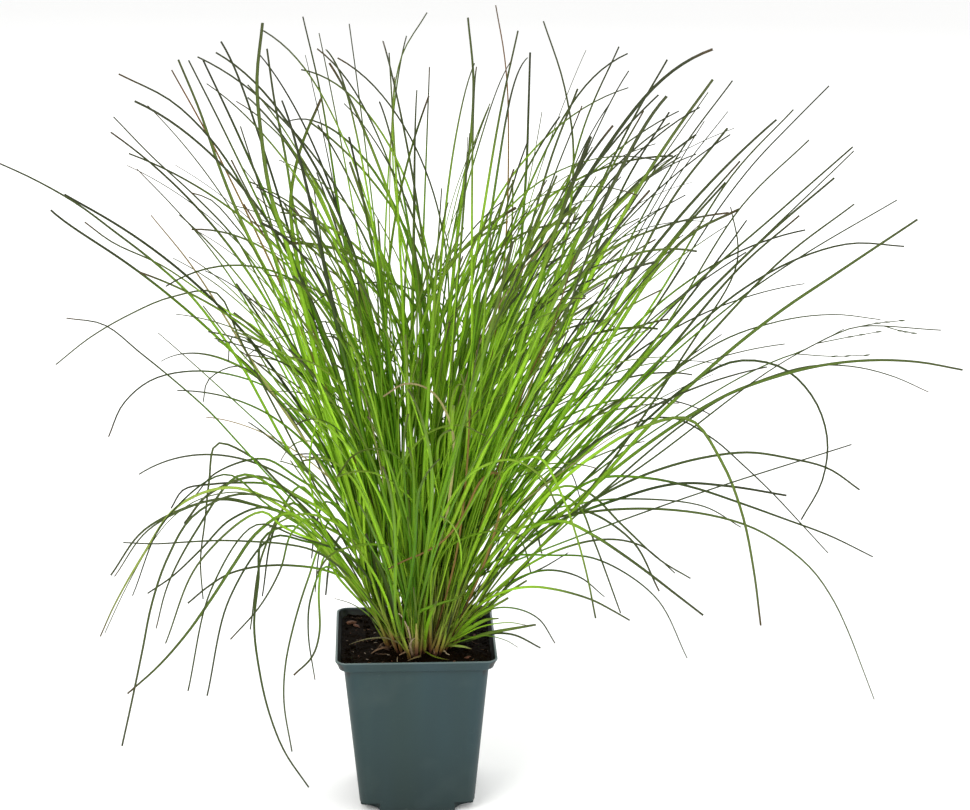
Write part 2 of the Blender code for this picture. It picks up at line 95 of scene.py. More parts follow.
# =================================================================================================
# Node helpers
# =================================================================================================
class Nodes:
    """Short calls for building one material."""

    def __init__(self, name):
        self.mat = bpy.data.materials.new(name)
        self.mat.use_nodes = True
        self.tree = self.mat.node_tree
        self.tree.nodes.clear()
        self.out = self.tree.nodes.new("ShaderNodeOutputMaterial")

    def _feed(self, socket, value):
        if isinstance(value, bpy.types.NodeSocket):
            self.tree.links.new(value, socket)
        elif isinstance(value, (tuple, list)) and len(value) == 3 and socket.type == "RGBA":
            socket.default_value = (*value, 1.0)
        else:
            socket.default_value = value

    def attr(self, name, color=False):
        n = self.tree.nodes.new("ShaderNodeAttribute")
        n.attribute_name = name
        return n.outputs["Color" if color else "Fac"]

    def math(self, op, a, b=0.0, c=0.0, clamp=False):
        n = self.tree.nodes.new("ShaderNodeMath")
        n.operation = op
        n.use_clamp = clamp
        for s, v in zip(n.inputs, (a, b, c)):
            self._feed(s, v)
        return n.outputs[0]

    def mix(self, f, a, b, mode="MIX"):
        n = self.tree.nodes.new("ShaderNodeMix")
        n.data_type = "RGBA"
        n.blend_type = mode
        n.clamp_factor = True
        self._feed(n.inputs[0], f)
        self._feed(n.inputs[6], a)
        self._feed(n.inputs[7], b)
        return n.outputs[2]

    def ramp(self, f, stops, interpolation="LINEAR"):
        n = self.tree.nodes.new("ShaderNodeValToRGB")
        r = n.color_ramp
        r.interpolation = interpolation
        while len(r.elements) < len(stops):
            r.elements.new(0.5)
        for e, (at, col) in zip(r.elements, stops):
            e.position = at
            e.color = (*col, 1) if isinstance(col, (tuple, list)) else (col, col, col, 1)
        self._feed(n.inputs[0], f)
        return n.outputs[0]

    def xyz(self, x, y, z):
        n = self.tree.nodes.new("ShaderNodeCombineXYZ")
        for s, v in zip(n.inputs, (x, y, z)):
            self._feed(s, v)
        return n.outputs[0]

    def place(self, scale=(1, 1, 1)):
        g = self.tree.nodes.new("ShaderNodeTexCoord")
        m = self.tree.nodes.new("ShaderNodeMapping")
        m.inputs["Scale"].default_value = scale
        self.tree.links.new(g.outputs["Object"], m.inputs["Vector"])
        return m.outputs[0]

    def noise(self, where, scale, detail=3.0, rough=0.55):
        n = self.tree.nodes.new("ShaderNodeTexNoise")
        self._feed(n.inputs["Vector"], where)
        n.inputs["Scale"].default_value = scale
        n.inputs["Detail"].default_value = detail
        n.inputs["Roughness"].default_value = rough
        return n.outputs[0]

    def voronoi(self, where, scale, out="Distance"):
        n = self.tree.nodes.new("ShaderNodeTexVoronoi")
        self._feed(n.inputs["Vector"], where)
        n.inputs["Scale"].default_value = scale
        return n.outputs[out]

    def bump(self, height, strength, distance):
        n = self.tree.nodes.new("ShaderNodeBump")
        n.inputs["Strength"].default_value = strength
        n.inputs["Distance"].default_value = distance
        self._feed(n.inputs["Height"], height)
        return n.outputs[0]

    def principled(self, color, roughness, normal=None, specular=0.5, sheen=0.0, coat=0.0):
        n = self.tree.nodes.new("ShaderNodeBsdfPrincipled")
        self._feed(n.inputs["Base Color"], color)
        self._feed(n.inputs["Roughness"], roughness)
        n.inputs["Specular IOR Level"].default_value = specular
        n.inputs["Sheen Weight"].default_value = sheen
        n.inputs["Coat Weight"].default_value = coat
        if normal is not None:
            self.tree.links.new(normal, n.inputs["Normal"])
        return n.outputs[0]

    def finish(self, shader):
        self.tree.links.new(shader, self.out.inputs["Surface"])
        return self.mat


# =================================================================================================
# The same dimensions, leaf table and layout as the CAD model, in millimetres
# =================================================================================================
POT_HEIGHT = 95.0  # ground to the top of the rim
RIM_HALF = 45.0  # half the outer width of the rim at its top
RIM_FOOT_HALF = 43.0  # the same at the collar's lower edge
RIM_FOOT_Z = 89.6  # lower edge of the stepped-out collar
NECK_HALF = 40.35  # half the width of the wall just under the collar
NECK_Z = 88.5
FOOT_HALF = 32.0  # half the width of the pot at the ground
WALL = 1.05  # plastic thickness
FLOOR = 1.3
CORNER_R = (5.5, 6.5)  # outer corner radius at the ground and at the rim
NOTCH_R = 11.0  # each bottom corner is raised over a quarter circle of this radius
NOTCH_Z = 5.5  # by this much
DRAIN_R = 2.4  # drain hole in each raised corner
DRAIN_AT = 27.4
GAP = 0.35  # between pieces that touch

SOIL_Z = 90.6  # level of the peat, 4.4 mm under the rim
CROWN_RX, CROWN_RY, CROWN_H = 23.5, 21.5, 5.6  # the mound of tiller bases
CROWN_X, CROWN_Y = 2.0, -9.0
BASE_SPREAD = 0.84  # the leaves start within this part of the mound

LEAF_THICK = 0.75
TUFT_THICK = 4.4

# Each leaf: width, how far its tip stands to the back (+) or the front (-), and the points (x, z) that it
# passes in the front elevation, from the crown to the tip. The depth grows along the leaf by DEPTH_POWER.
DEPTH_POWER = 1.2
LEAVES = [
    # the upright fan on the left
    (2.8, 20, [(-40, 185), (-65, 275), (-85, 315), (-100, 350), (-115, 395), (-125, 420)]),
    (1.7, -60, [(-45, 215), (-80, 345), (-90, 365), (-105, 390), (-130, 415), (-150, 425)]),
    (1.5, 60, [(-45, 230), (-90, 305), (-110, 330), (-135, 352), (-165, 382)]),
    (1.5, -30, [(-50, 210), (-80, 275), (-95, 305), (-115, 335), (-145, 370)]),
    (3.0, -90, [(-40, 210), (-60, 310), (-66, 335), (-74, 365), (-77, 390), (-79, 420), (-75, 455)]),
    (2.0, 90, [(-45, 215), (-64, 315), (-69, 350), (-75, 380), (-80, 415)]),
    (3.2, -20, [(-40, 220), (-65, 335), (-64, 360), (-57, 385), (-48, 405)]),
    # the long leaves reaching out to the left
    (1.9, -20, [(-40, 160), (-70, 210), (-95, 260), (-122, 300), (-155, 330), (-187, 355), (-223, 374)]),
    (1.4, 50, [(-45, 160), (-80, 230), (-93, 255), (-109, 288), (-120, 289), (-170, 267), (-202, 242)]),
    (1.3, -60, [(-45, 155), (-80, 200), (-115, 245), (-135, 265), (-162, 291), (-170, 296), (-176, 291), (-182, 297)]),
    (1.4, 80, [(-45, 180), (-75, 225), (-100, 235), (-125, 236), (-147, 230), (-165, 215), (-177, 190)]),
    # the leaves that arch over and hang on the left
    (1.9, -75, [(-45, 145), (-65, 170), (-75, 176), (-82, 170), (-87, 135), (-89, 115), (-86, 95), (-80, 70), (-70, 48), (-60, 35)]),
    (1.6, -60, [(-45, 155), (-70, 182), (-95, 190), (-120, 180), (-131, 165), (-142, 140), (-148, 115), (-156, 80), (-162, 55)]),
    (2.5, -90, [(-45, 155), (-63, 180), (-75, 184), (-90, 170), (-105, 150), (-120, 130), (-137, 112), (-155, 98)]),
    (1.7, -40, [(-24, 120), (-36, 133), (-52, 142), (-70, 146), (-88, 147), (-106, 143), (-125, 130)]),
    (1.8, -110, [(-33, 140), (-55, 165), (-100, 180), (-137, 186), (-152, 190)]),
    (1.7, 30, [(-40, 150), (-75, 178), (-98, 180), (-120, 177), (-136, 171), (-138, 162)]),
    (1.6, -20, [(-45, 155), (-77, 192), (-95, 210), (-107, 215), (-115, 175), (-119, 145), (-118, 125)]),
    # the long arches low on the right
    (2.1, 20, [(38, 130), (65, 158), (98, 166), (125, 167), (155, 164), (185, 156), (208, 143), (228, 125), (244, 100), (256, 72), (268, 42)]),
    (1.9, 60, [(55, 135), (98, 165), (130, 179), (160, 186), (190, 188), (220, 181), (252, 168), (262, 158)]),
    (1.9, -50, [(55, 152), (95, 192), (117, 196), (152, 191), (195, 177), (222, 168), (250, 155)]),
    (1.7, 100, [(85, 182), (135, 208), (160, 202), (178, 187), (208, 157), (252, 105)]),
    (2.3, -100, [(80, 200), (130, 238), (145, 240), (158, 226), (169, 203), (176, 180), (182, 135)]),
    (1.9, -120, [(42, 195), (54, 222), (63, 225), (75, 208), (82, 190), (87, 173), (92, 148)]),
    (2.1, -70, [(55, 160), (72, 176), (88, 173), (112, 160), (155, 130)]),
    (1.7, 40, [(35, 110), (55, 126), (80, 138), (108, 142), (130, 136), (152, 115)]),
    (1.9, -50, [(38, 122), (50, 130), (66, 134), (95, 130), (117, 120)]),
    (2.3, -25, [(30, 97), (40, 101), (67, 109)]),
    # the fan on the right
    (2.3, 10, [(70, 155), (140, 213), (185, 238), (210, 245), (235, 250), (260, 251), (292, 248), (308, 244)]),
    (1.7, 120, [(85, 150), (172, 210), (218, 225), (248, 226), (285, 215), (313, 200)]),
    (2.3, -80, [(70, 155), (136, 240), (185, 290), (212, 312), (260, 350)]),
    (1.7, 50, [(105, 215), (192, 290), (238, 308), (260, 309), (280, 306)]),
    (1.5, 110, [(90, 195), (165, 270), (260, 350)]),
    (1.8, 60, [(85, 170), (160, 235), (188, 245), (212, 238), (226, 225), (238, 200), (240, 180), (236, 157), (228, 140)]),
    # tall blades in the middle
    (2.3, -40, [(15, 235), (25, 345), (30, 380), (32, 415), (29, 450)]),
    (2.1, 70, [(50, 225), (64, 335), (68, 415)]),
    (1.7, -90, [(55, 240), (80, 345), (80, 405), (65, 455)]),
    (2.5, -120, [(55, 230), (115, 375), (147, 430)]),
    (2.7, -60, [(58, 190), (95, 260), (140, 333), (170, 352)]),
    (1.3, 40, [(70, 195), (125, 265), (183, 350), (232, 400)]),
]
# Each lock of leaves, in the same way.
TUFTS = [
    (8.0, -50, [(-40, 200), (-60, 280), (-85, 385)]),
    (9.0, 70, [(-35, 200), (-55, 280), (-65, 385)]),
    (9.0, -110, [(-25, 205), (-40, 290), (-45, 390)]),
    (9.0, 130, [(-20, 190), (-25, 255), (-35, 350)]),
    (9.0, -185, [(-10, 195), (-15, 270), (-25, 330)]),
    (9.0, 190, [(-5, 185), (-5, 260), (10, 320)]),
    (9.0, -150, [(5, 200), (10, 290), (15, 360)]),
    (9.0, 60, [(10, 200), (20, 280), (35, 380)]),
    (9.0, -70, [(20, 210), (35, 300), (50, 410)]),
    (9.0, 140, [(25, 190), (45, 270), (85, 345)]),
    (9.0, -110, [(30, 215), (60, 305), (90, 395)]),
    (9.0, 70, [(40, 195), (80, 280), (130, 345)]),
    (9.0, -40, [(40, 200), (85, 265), (145, 355)]),
    (9.0, 90, [(50, 180), (100, 225), (200, 285)]),
    (8.0, -90, [(45, 185), (95, 230), (165, 275)]),
    (8.0, 110, [(-35, 155), (-70, 200), (-130, 245)]),
    (7.0, 150, [(15, 150), (30, 175), (55, 170)]),
]


# ---- how the leaves run -----------------------------------------------------------------------
def dome_z(x, y):
    """Height of the crown's surface over a point of its footprint."""
    q2 = ((x - CROWN_X) / CROWN_RX) ** 2 + ((y - CROWN_Y) / CROWN_RY) ** 2
    return SOIL_Z + GAP + CROWN_H * (1.0 - min(q2, 1.0))


def smooth_path(points, count):
    """A Catmull-Rom curve through the points, read at equal steps of its length."""
    p = np.array(points, float)
    p = np.vstack([2 * p[0] - p[1], p, 2 * p[-1] - p[-2]])
    fine = []
    for i in range(1, len(p) - 2):
        a, b, c, d = p[i - 1], p[i], p[i + 1], p[i + 2]
        ta = np.linalg.norm(b - a) ** 0.5
        tb = ta + np.linalg.norm(c - b) ** 0.5
        tc = tb + np.linalg.norm(d - c) ** 0.5
        for t in np.linspace(ta, tb, 24, endpoint=False):
            a1 = (ta - t) / ta * a + t / ta * b
            a2 = (tb - t) / (tb - ta) * b + (t - ta) / (tb - ta) * c
            a3 = (tc - t) / (tc - tb) * c + (t - tb) / (tc - tb) * d
            b1 = (tb - t) / tb * a1 + t / tb * a2
            b2 = (tc - t) / (tc - ta) * a2 + (t - ta) / (tc - ta) * a3
            fine.append((tb - t) / (tb - ta) * b1 + (t - ta) / (tb - ta) * b2)
    fine = np.array(fine + [p[-2]])
    length = np.concatenate([[0], np.cumsum(np.linalg.norm(np.diff(fine, axis=0), axis=1))])
    at = np.linspace(0, length[-1], count)
    return np.stack([np.interp(at, length, fine[:, k]) for k in range(3)], axis=1)


def ring_count(width, path):
    length = sum(math.dist(a, b) for a, b in zip(path[:-1], path[1:]))
    return int(min(24, max(12, round(length / 19)))) if width < 4 else 13


def spread_bases(table):
    """Where each leaf leaves the crown: out towards its own side, and none closer than their widths need."""
    n = len(table)
    reach = np.zeros((n, 2))
    size = np.zeros(n)
    for i, (width, depth, path) in enumerate(table):
        x, z = path[0]
        share = math.hypot(x, z - 90) / (math.hypot(x, z - 90) + sum(math.dist(a, b) for a, b in zip(path[:-1], path[1:])))
        reach[i] = (x - CROWN_X, depth * share**DEPTH_POWER * 1.6 - CROWN_Y)
        size[i] = 1.9 if width > 4 else 1.15
    spot = np.zeros((n, 2))
    for i in range(n):
        far = np.hypot(*reach[i])
        turn = i * 2.399963
        spot[i] = reach[i] / max(far, 1e-6) * min(1.0, (far / 62.0) ** 0.75) * 17.0
        spot[i] += 0.8 * np.array([math.cos(turn), math.sin(turn)])
    for _ in range(400):
        gap = spot[:, None] - spot[None]
        dist = np.hypot(gap[..., 0], gap[..., 1]) + 1e-9
        need = size[:, None] + size[None] + 0.75
        push = np.where(dist < need, (need - dist) / dist, 0.0)
        np.fill_diagonal(push, 0.0)
        spot += 0.25 * (gap * push[..., None]).sum(axis=1)
        q = np.hypot(spot[:, 0] / (CROWN_RX * BASE_SPREAD), spot[:, 1] / (CROWN_RY * BASE_SPREAD))
        spot /= np.maximum(q, 1.0)[:, None]
    return spot + np.array([CROWN_X, CROWN_Y])


def widths(width, count):
    """Full width and thickness of each ring: a round base, the widest part near the lower third, a narrow tip."""
    t = np.linspace(0, 1, count)
    if width > 4:  # a lock
        wide = np.interp(t, [0, 0.12, 0.45, 0.75, 1], [3.2, 4.6, width, 0.8 * width, 2.4])
        thick = np.interp(t, [0, 0.12, 0.45, 0.8, 1], [2.6, 3.2, TUFT_THICK, 2.4, 1.0])
    else:
        wide = np.interp(t, [0, 0.15, 0.35, 0.7, 1], [0.85 * width, 0.95 * width, width, 0.85 * width, 0.45 * width])
        wide = np.maximum(wide, 0.8)
        thick = np.interp(t, [0, 0.2, 1], [min(1.4, 0.8 * width), LEAF_THICK, 0.6 * LEAF_THICK])
    return wide, thick


def nearest_on_segments(p1, q1, p2, q2):
    """For pairs of segments: where each is nearest to the other, as shares of its length."""
    d1, d2, r = q1 - p1, q2 - p2, p1 - p2
    a, e = (d1 * d1).sum(1), (d2 * d2).sum(1)
    b, c, f = (d1 * d2).sum(1), (d1 * r).sum(1), (d2 * r).sum(1)
    den = a * e - b * b
    s = np.where(den > 1e-9, np.clip((b * f - c * e) / np.maximum(den, 1e-9), 0, 1), 0.5)
    t = np.clip((b * s + f) / e, 0, 1)
    s = np.clip((b * t - c) / a, 0, 1)
    return s, t


def part_the_leaves(paths, radii, steps=400):
    """Moves the leaves aside, mostly by bending them, until none runs through another."""
    count = [len(p) for p in paths]
    start = np.concatenate([[0], np.cumsum(count)])
    points = np.vstack(paths)
    radius = np.concatenate(radii)
    owner = np.concatenate([np.full(c, i) for i, c in enumerate(count)])
    first = np.concatenate([np.arange(start[i], start[i + 1] - 1) for i in range(len(paths))])
    hold = np.ones(len(points))
    for i in range(len(paths)):
        hold[start[i]] = 0.0
        hold[start[i] + 1] = 0.6
    seg_r = np.maximum(radius[first], radius[first + 1])
    ia, ib = np.triu_indices(len(first), 1)
    keep = owner[first[ia]] != owner[first[ib]]
    ia, ib = ia[keep], ib[keep]
    near = None
    for step in range(steps):
        if step % 8 == 0:
            mid = 0.5 * (points[first] + points[first + 1])
            half = 0.5 * np.linalg.norm(points[first + 1] - points[first], axis=1) + seg_r
            near = np.linalg.norm(mid[ia] - mid[ib], axis=1) < half[ia] + half[ib] + 6.0
        a, b = ia[near], ib[near]
        fa, fb = first[a], first[b]
        s, t = nearest_on_segments(points[fa], points[fa + 1], points[fb], points[fb + 1])
        ca = points[fa] + (points[fa + 1] - points[fa]) * s[:, None]
        cb = points[fb] + (points[fb + 1] - points[fb]) * t[:, None]
        apart = ca - cb
        dist = np.linalg.norm(apart, axis=1)
        need = radius[fa] * (1 - s) + radius[fa + 1] * s + radius[fb] * (1 - t) + radius[fb + 1] * t + 0.5
        bad = dist < need
        if not bad.any():
            break
        fa, fb, s, t, apart, dist, need = fa[bad], fb[bad], s[bad], t[bad], apart[bad], dist[bad], need[bad]
        side = apart / np.maximum(dist, 1e-6)[:, None]
        side[dist < 1e-3] = (0, 1, 0)
        push = side * (need - dist + 0.05)[:, None] * 0.55
        move = np.zeros_like(points)
        weight = np.zeros(len(points))
        for rows, share, sign in ((fa, 1 - s, 1), (fa + 1, s, 1), (fb, 1 - t, -1), (fb + 1, t, -1)):
            np.add.at(move, rows, sign * push * share[:, None])
            np.add.at(weight, rows, share)
        move /= np.maximum(weight, 1.0)[:, None]
        for i in range(len(paths)):
            part = move[start[i] : start[i + 1]]
            eased = part.copy()
            eased[1:-1] = 0.5 * part[1:-1] + 0.35 * (part[:-2] + part[2:])
            move[start[i] : start[i + 1]] = eased
        points += move * hold[:, None]
        points[:, 2] = np.maximum(points[:, 2], 4.0)
    return [points[start[i] : start[i + 1]] for i in range(len(paths))]


def lay_out():
    """The path of every leaf and lock, as points in millimetres."""
    table = LEAVES + TUFTS
    bases = spread_bases(table)
    paths, radii = [], []
    for (width, depth, elevation), (bx, by) in zip(table, bases):
        bz = dome_z(bx, by) + 0.6 + 0.5 * widths(width, 3)[0][0]
        front = np.array([(bx, bz)] + elevation)
        run = np.concatenate([[0], np.cumsum(np.hypot(*np.diff(front, axis=0).T))])
        y = by + (depth - by) * (run / run[-1]) ** DEPTH_POWER
        count = ring_count(width, elevation)
        paths.append(smooth_path([(x, d, z) for (x, z), d in zip(front, y)], count))
        wide, thick = widths(width, count)
        radii.append(0.5 * (wide if width < 4 else 0.5 * (wide + thick) + 0.4))
    return part_the_leaves(paths, radii)


# =================================================================================================
# Mesh helpers. Shapes are worked out in millimetres.
# =================================================================================================
ROOT = "root"


class Bag:
    """Collects strips of skin into one mesh, with its attributes and its bake map."""

    def __init__(self):
        self.v, self.f, self.uv, self.at, self.n = [], [], [], {}, 0

    def add(self, verts, faces, uvs, **attrs):
        self.v.append(np.asarray(verts, float))
        self.f += [tuple(int(i) + self.n for i in f) for f in faces]
        self.uv += uvs
        for k, a in attrs.items():
            self.at.setdefault(k, []).append(np.broadcast_to(np.asarray(a, float), (len(verts),)).copy())
        self.n += len(verts)

    def make(self, name, mat, replaces=(), smooth=True, sharp=None):
        mesh = bpy.data.meshes.new(name)
        verts = np.vstack(self.v) * MM
        mesh.from_pydata(verts.tolist(), [], self.f)
        for k, parts in self.at.items():
            a = mesh.attributes.new(k, "FLOAT", "POINT")
            a.data.foreach_set("value", np.concatenate(parts).astype(np.float32))
        if self.uv:
            layer = mesh.uv_layers.new(name="OFBake")
            layer.data.foreach_set("uv", np.array([c for f in self.uv for c in f], np.float32).ravel())
        mesh.materials.append(mat)
        if smooth:
            mesh.shade_smooth()
            if sharp:
                mesh.set_sharp_from_angle(angle=math.radians(sharp))
        obj = bpy.data.objects.new(name, mesh)
        scene.collection.objects.link(obj)
        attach(obj, ROOT)
        if replaces:
            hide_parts(*replaces)
        return obj


def frames(path, turn):
    """Across and face directions at each ring, carried along the path; turn is an angle for each ring."""
    tangent = np.gradient(path, axis=0)
    tangent /= np.linalg.norm(tangent, axis=1)[:, None]
    out = np.array([path[-1][0] - path[0][0], path[-1][1] - path[0][1], 0.0])
    if np.linalg.norm(out) < 1e-6:
        out = np.array([1.0, 0, 0])
    out /= np.linalg.norm(out)
    face = out - tangent[0] * (out @ tangent[0])
    face /= max(np.linalg.norm(face), 1e-9)
    us, vs = [], []
    for k in range(len(path)):
        face = face - tangent[k] * (face @ tangent[k])
        face /= max(np.linalg.norm(face), 1e-9)
        across = np.cross(tangent[k], face)
        u = math.cos(turn[k]) * across + math.sin(turn[k]) * face
        us.append(u)
        vs.append(np.cross(u, tangent[k]))
    return np.array(us), np.array(vs)


def facing(path):
    """Turns that show a blade's width to someone who stands in front of the pot, as the wide leaves do."""
    tangent = np.gradient(path, axis=0)
    want = np.cross(tangent, np.array([0.04, 0.96, -0.28]))
    across, _ = frames(path, np.zeros(len(path)))
    face, _ = frames(path, np.full(len(path), 0.5 * math.pi))
    a = np.arctan2((want * face).sum(1), (want * across).sum(1))
    a = 0.5 * np.unwrap(2 * a)
    box = np.ones(9) / 9
    return np.convolve(np.pad(a, 4, mode="edge"), box, mode="valid")


ACROSS = np.array([-1.0, -0.5, 0.0, 0.5, 1.0, 0.52, 0.0, -0.52])
UNDER = np.array([0, 0, 0, 0, 0, 1, 1, 1.0])


def blade(bag, path, width, turn, fold, column, columns, rnd, tone, dry, tip=0.15, thick=0.22, burn=0.0, base=0.72, swell=0.16, fresh=1.0):
    """One leaf blade: a closed skin, folded along its midrib, with a keel below, narrowing to its tip."""
    n = len(path)
    t = np.linspace(0, 1, n)
    grow = np.clip(t / swell, 0, 1)
    grow = grow * grow * (3 - 2 * grow)
    w = width * (base + (1 - base) * grow) * (1 - (1 - tip) * np.clip((t - 0.5) / 0.5, 0, 1) ** 1.7)
    half = 0.5 * w
    depth = half * np.interp(t, [0, 0.2, 0.7, 1], [1.1, fold, fold, 1.2 * fold])
    th = thick * np.interp(t, [0, 0.3, 1], [1.5, 1.0, 0.6]) * min(1.0, 0.5 + width / 3)
    us, vs = frames(path, np.broadcast_to(np.asarray(turn, float), (n,)) + math.pi)
    spread = 1.0 / np.sqrt(1 + (depth / half) ** 2)  # a folded blade is narrower
    top = depth[:, None] * np.array([1.0, 0.36, 0.0, 0.36, 1.0, 0.36, 0.0, 0.36])[None]
    low = th[:, None] * np.array([0, 0, 0, 0, 0, 1.0, 1.7, 1.0])[None]
    x = (half * spread)[:, None] * ACROSS[None]
    y = top - low
    verts = path[:, None, :] + us[:, None, :] * x[:, :, None] + vs[:, None, :] * y[:, :, None]
    verts = verts.reshape(-1, 3)
    faces, uvs = [], []
    u0, du = column / columns, 1.0 / columns
    ring_u = np.array([0.02, 0.145, 0.27, 0.395, 0.52, 0.645, 0.77, 0.875, 0.98]) * du + u0
    for k in range(n - 1):
        a, b = k * 8, (k + 1) * 8
        v0, v1 = 0.004 + 0.992 * t[k], 0.004 + 0.992 * t[k + 1]
        for j in range(8):
            jj = (j + 1) % 8
            faces.append((a + j, a + jj, b + jj, b + j))
            uvs.append(((ring_u[j], v0), (ring_u[j + 1], v0), (ring_u[j + 1], v1), (ring_u[j], v1)))
    faces.append(tuple(range(7, -1, -1)))
    uvs.append(tuple((ring_u[j], 0.004) for j in range(7, -1, -1)))
    faces.append(tuple((n - 1) * 8 + j for j in range(8)))
    uvs.append(tuple((ring_u[j], 0.996) for j in range(8)))
    # blades are vivid inside the clump and weathered to a dull dark green where they stand out of it
    broad = np.interp(path[:, 2], [95, 150, 210, 290], [62, 84, 118, 150])
    q = np.sqrt(((path[:, 0] - 14) / broad) ** 2 + ((path[:, 1] + 5) / 215) ** 2 + ((path[:, 2] - 225) / 185) ** 2)
    dull = np.clip((q - 0.73 + 0.34 * (rnd - 0.5) + (0.30 if rnd > 0.87 else 0.0)) / 0.42, 0, 1)
    bag.add(
        verts,
        faces,
        uvs,
        t=np.repeat(t, 8),
        dull=np.repeat(fresh * dull * dull * (3 - 2 * dull), 8),
        across=np.tile(ACROSS, n),
        under=np.tile(UNDER, n),
        rnd=rnd,
        tone=tone,
        dry=dry,
        burn=burn,
    )


def tube(bag, path, radius, sides, column, columns, row=(0.0, 1.0), squash=1.0, ribs=0.0, **attrs):
    """A closed round strip, such as a sheath, a stalk or a root hair."""
    n = len(path)
    t = np.linspace(0, 1, n)
    radius = np.broadcast_to(np.asarray(radius, float), (n,))
    us, vs = frames(path, np.zeros(n))
    ang = np.arange(sides) * 2 * math.pi / sides
    rr = radius[:, None] * (1 + ribs * np.cos(ang * sides / 2.0))[None]
    verts = path[:, None] + us[:, None] * (rr * np.cos(ang))[..., None] + vs[:, None] * (squash * rr * np.sin(ang))[..., None]
    verts = verts.reshape(-1, 3)
    faces, uvs = [], []
    uu = (column + 0.03 + 0.94 * np.arange(sides + 1) / sides) / columns
    vv = row[0] + (row[1] - row[0]) * (0.01 + 0.98 * t)
    for k in range(n - 1):
        for j in range(sides):
            jj = (j + 1) % sides
            faces.append((k * sides + j, (k + 1) * sides + j, (k + 1) * sides + jj, k * sides + jj))
            uvs.append(((uu[j], vv[k]), (uu[j], vv[k + 1]), (uu[j + 1], vv[k + 1]), (uu[j + 1], vv[k])))
    faces.append(tuple(range(sides)))
    uvs.append(tuple((uu[j], vv[0]) for j in range(sides)))
    faces.append(tuple((n - 1) * sides + j for j in range(sides - 1, -1, -1)))
    uvs.append(tuple((uu[j], vv[-1]) for j in range(sides - 1, -1, -1)))
    bag.add(verts, faces, uvs, t=np.repeat(t, sides), **attrs)


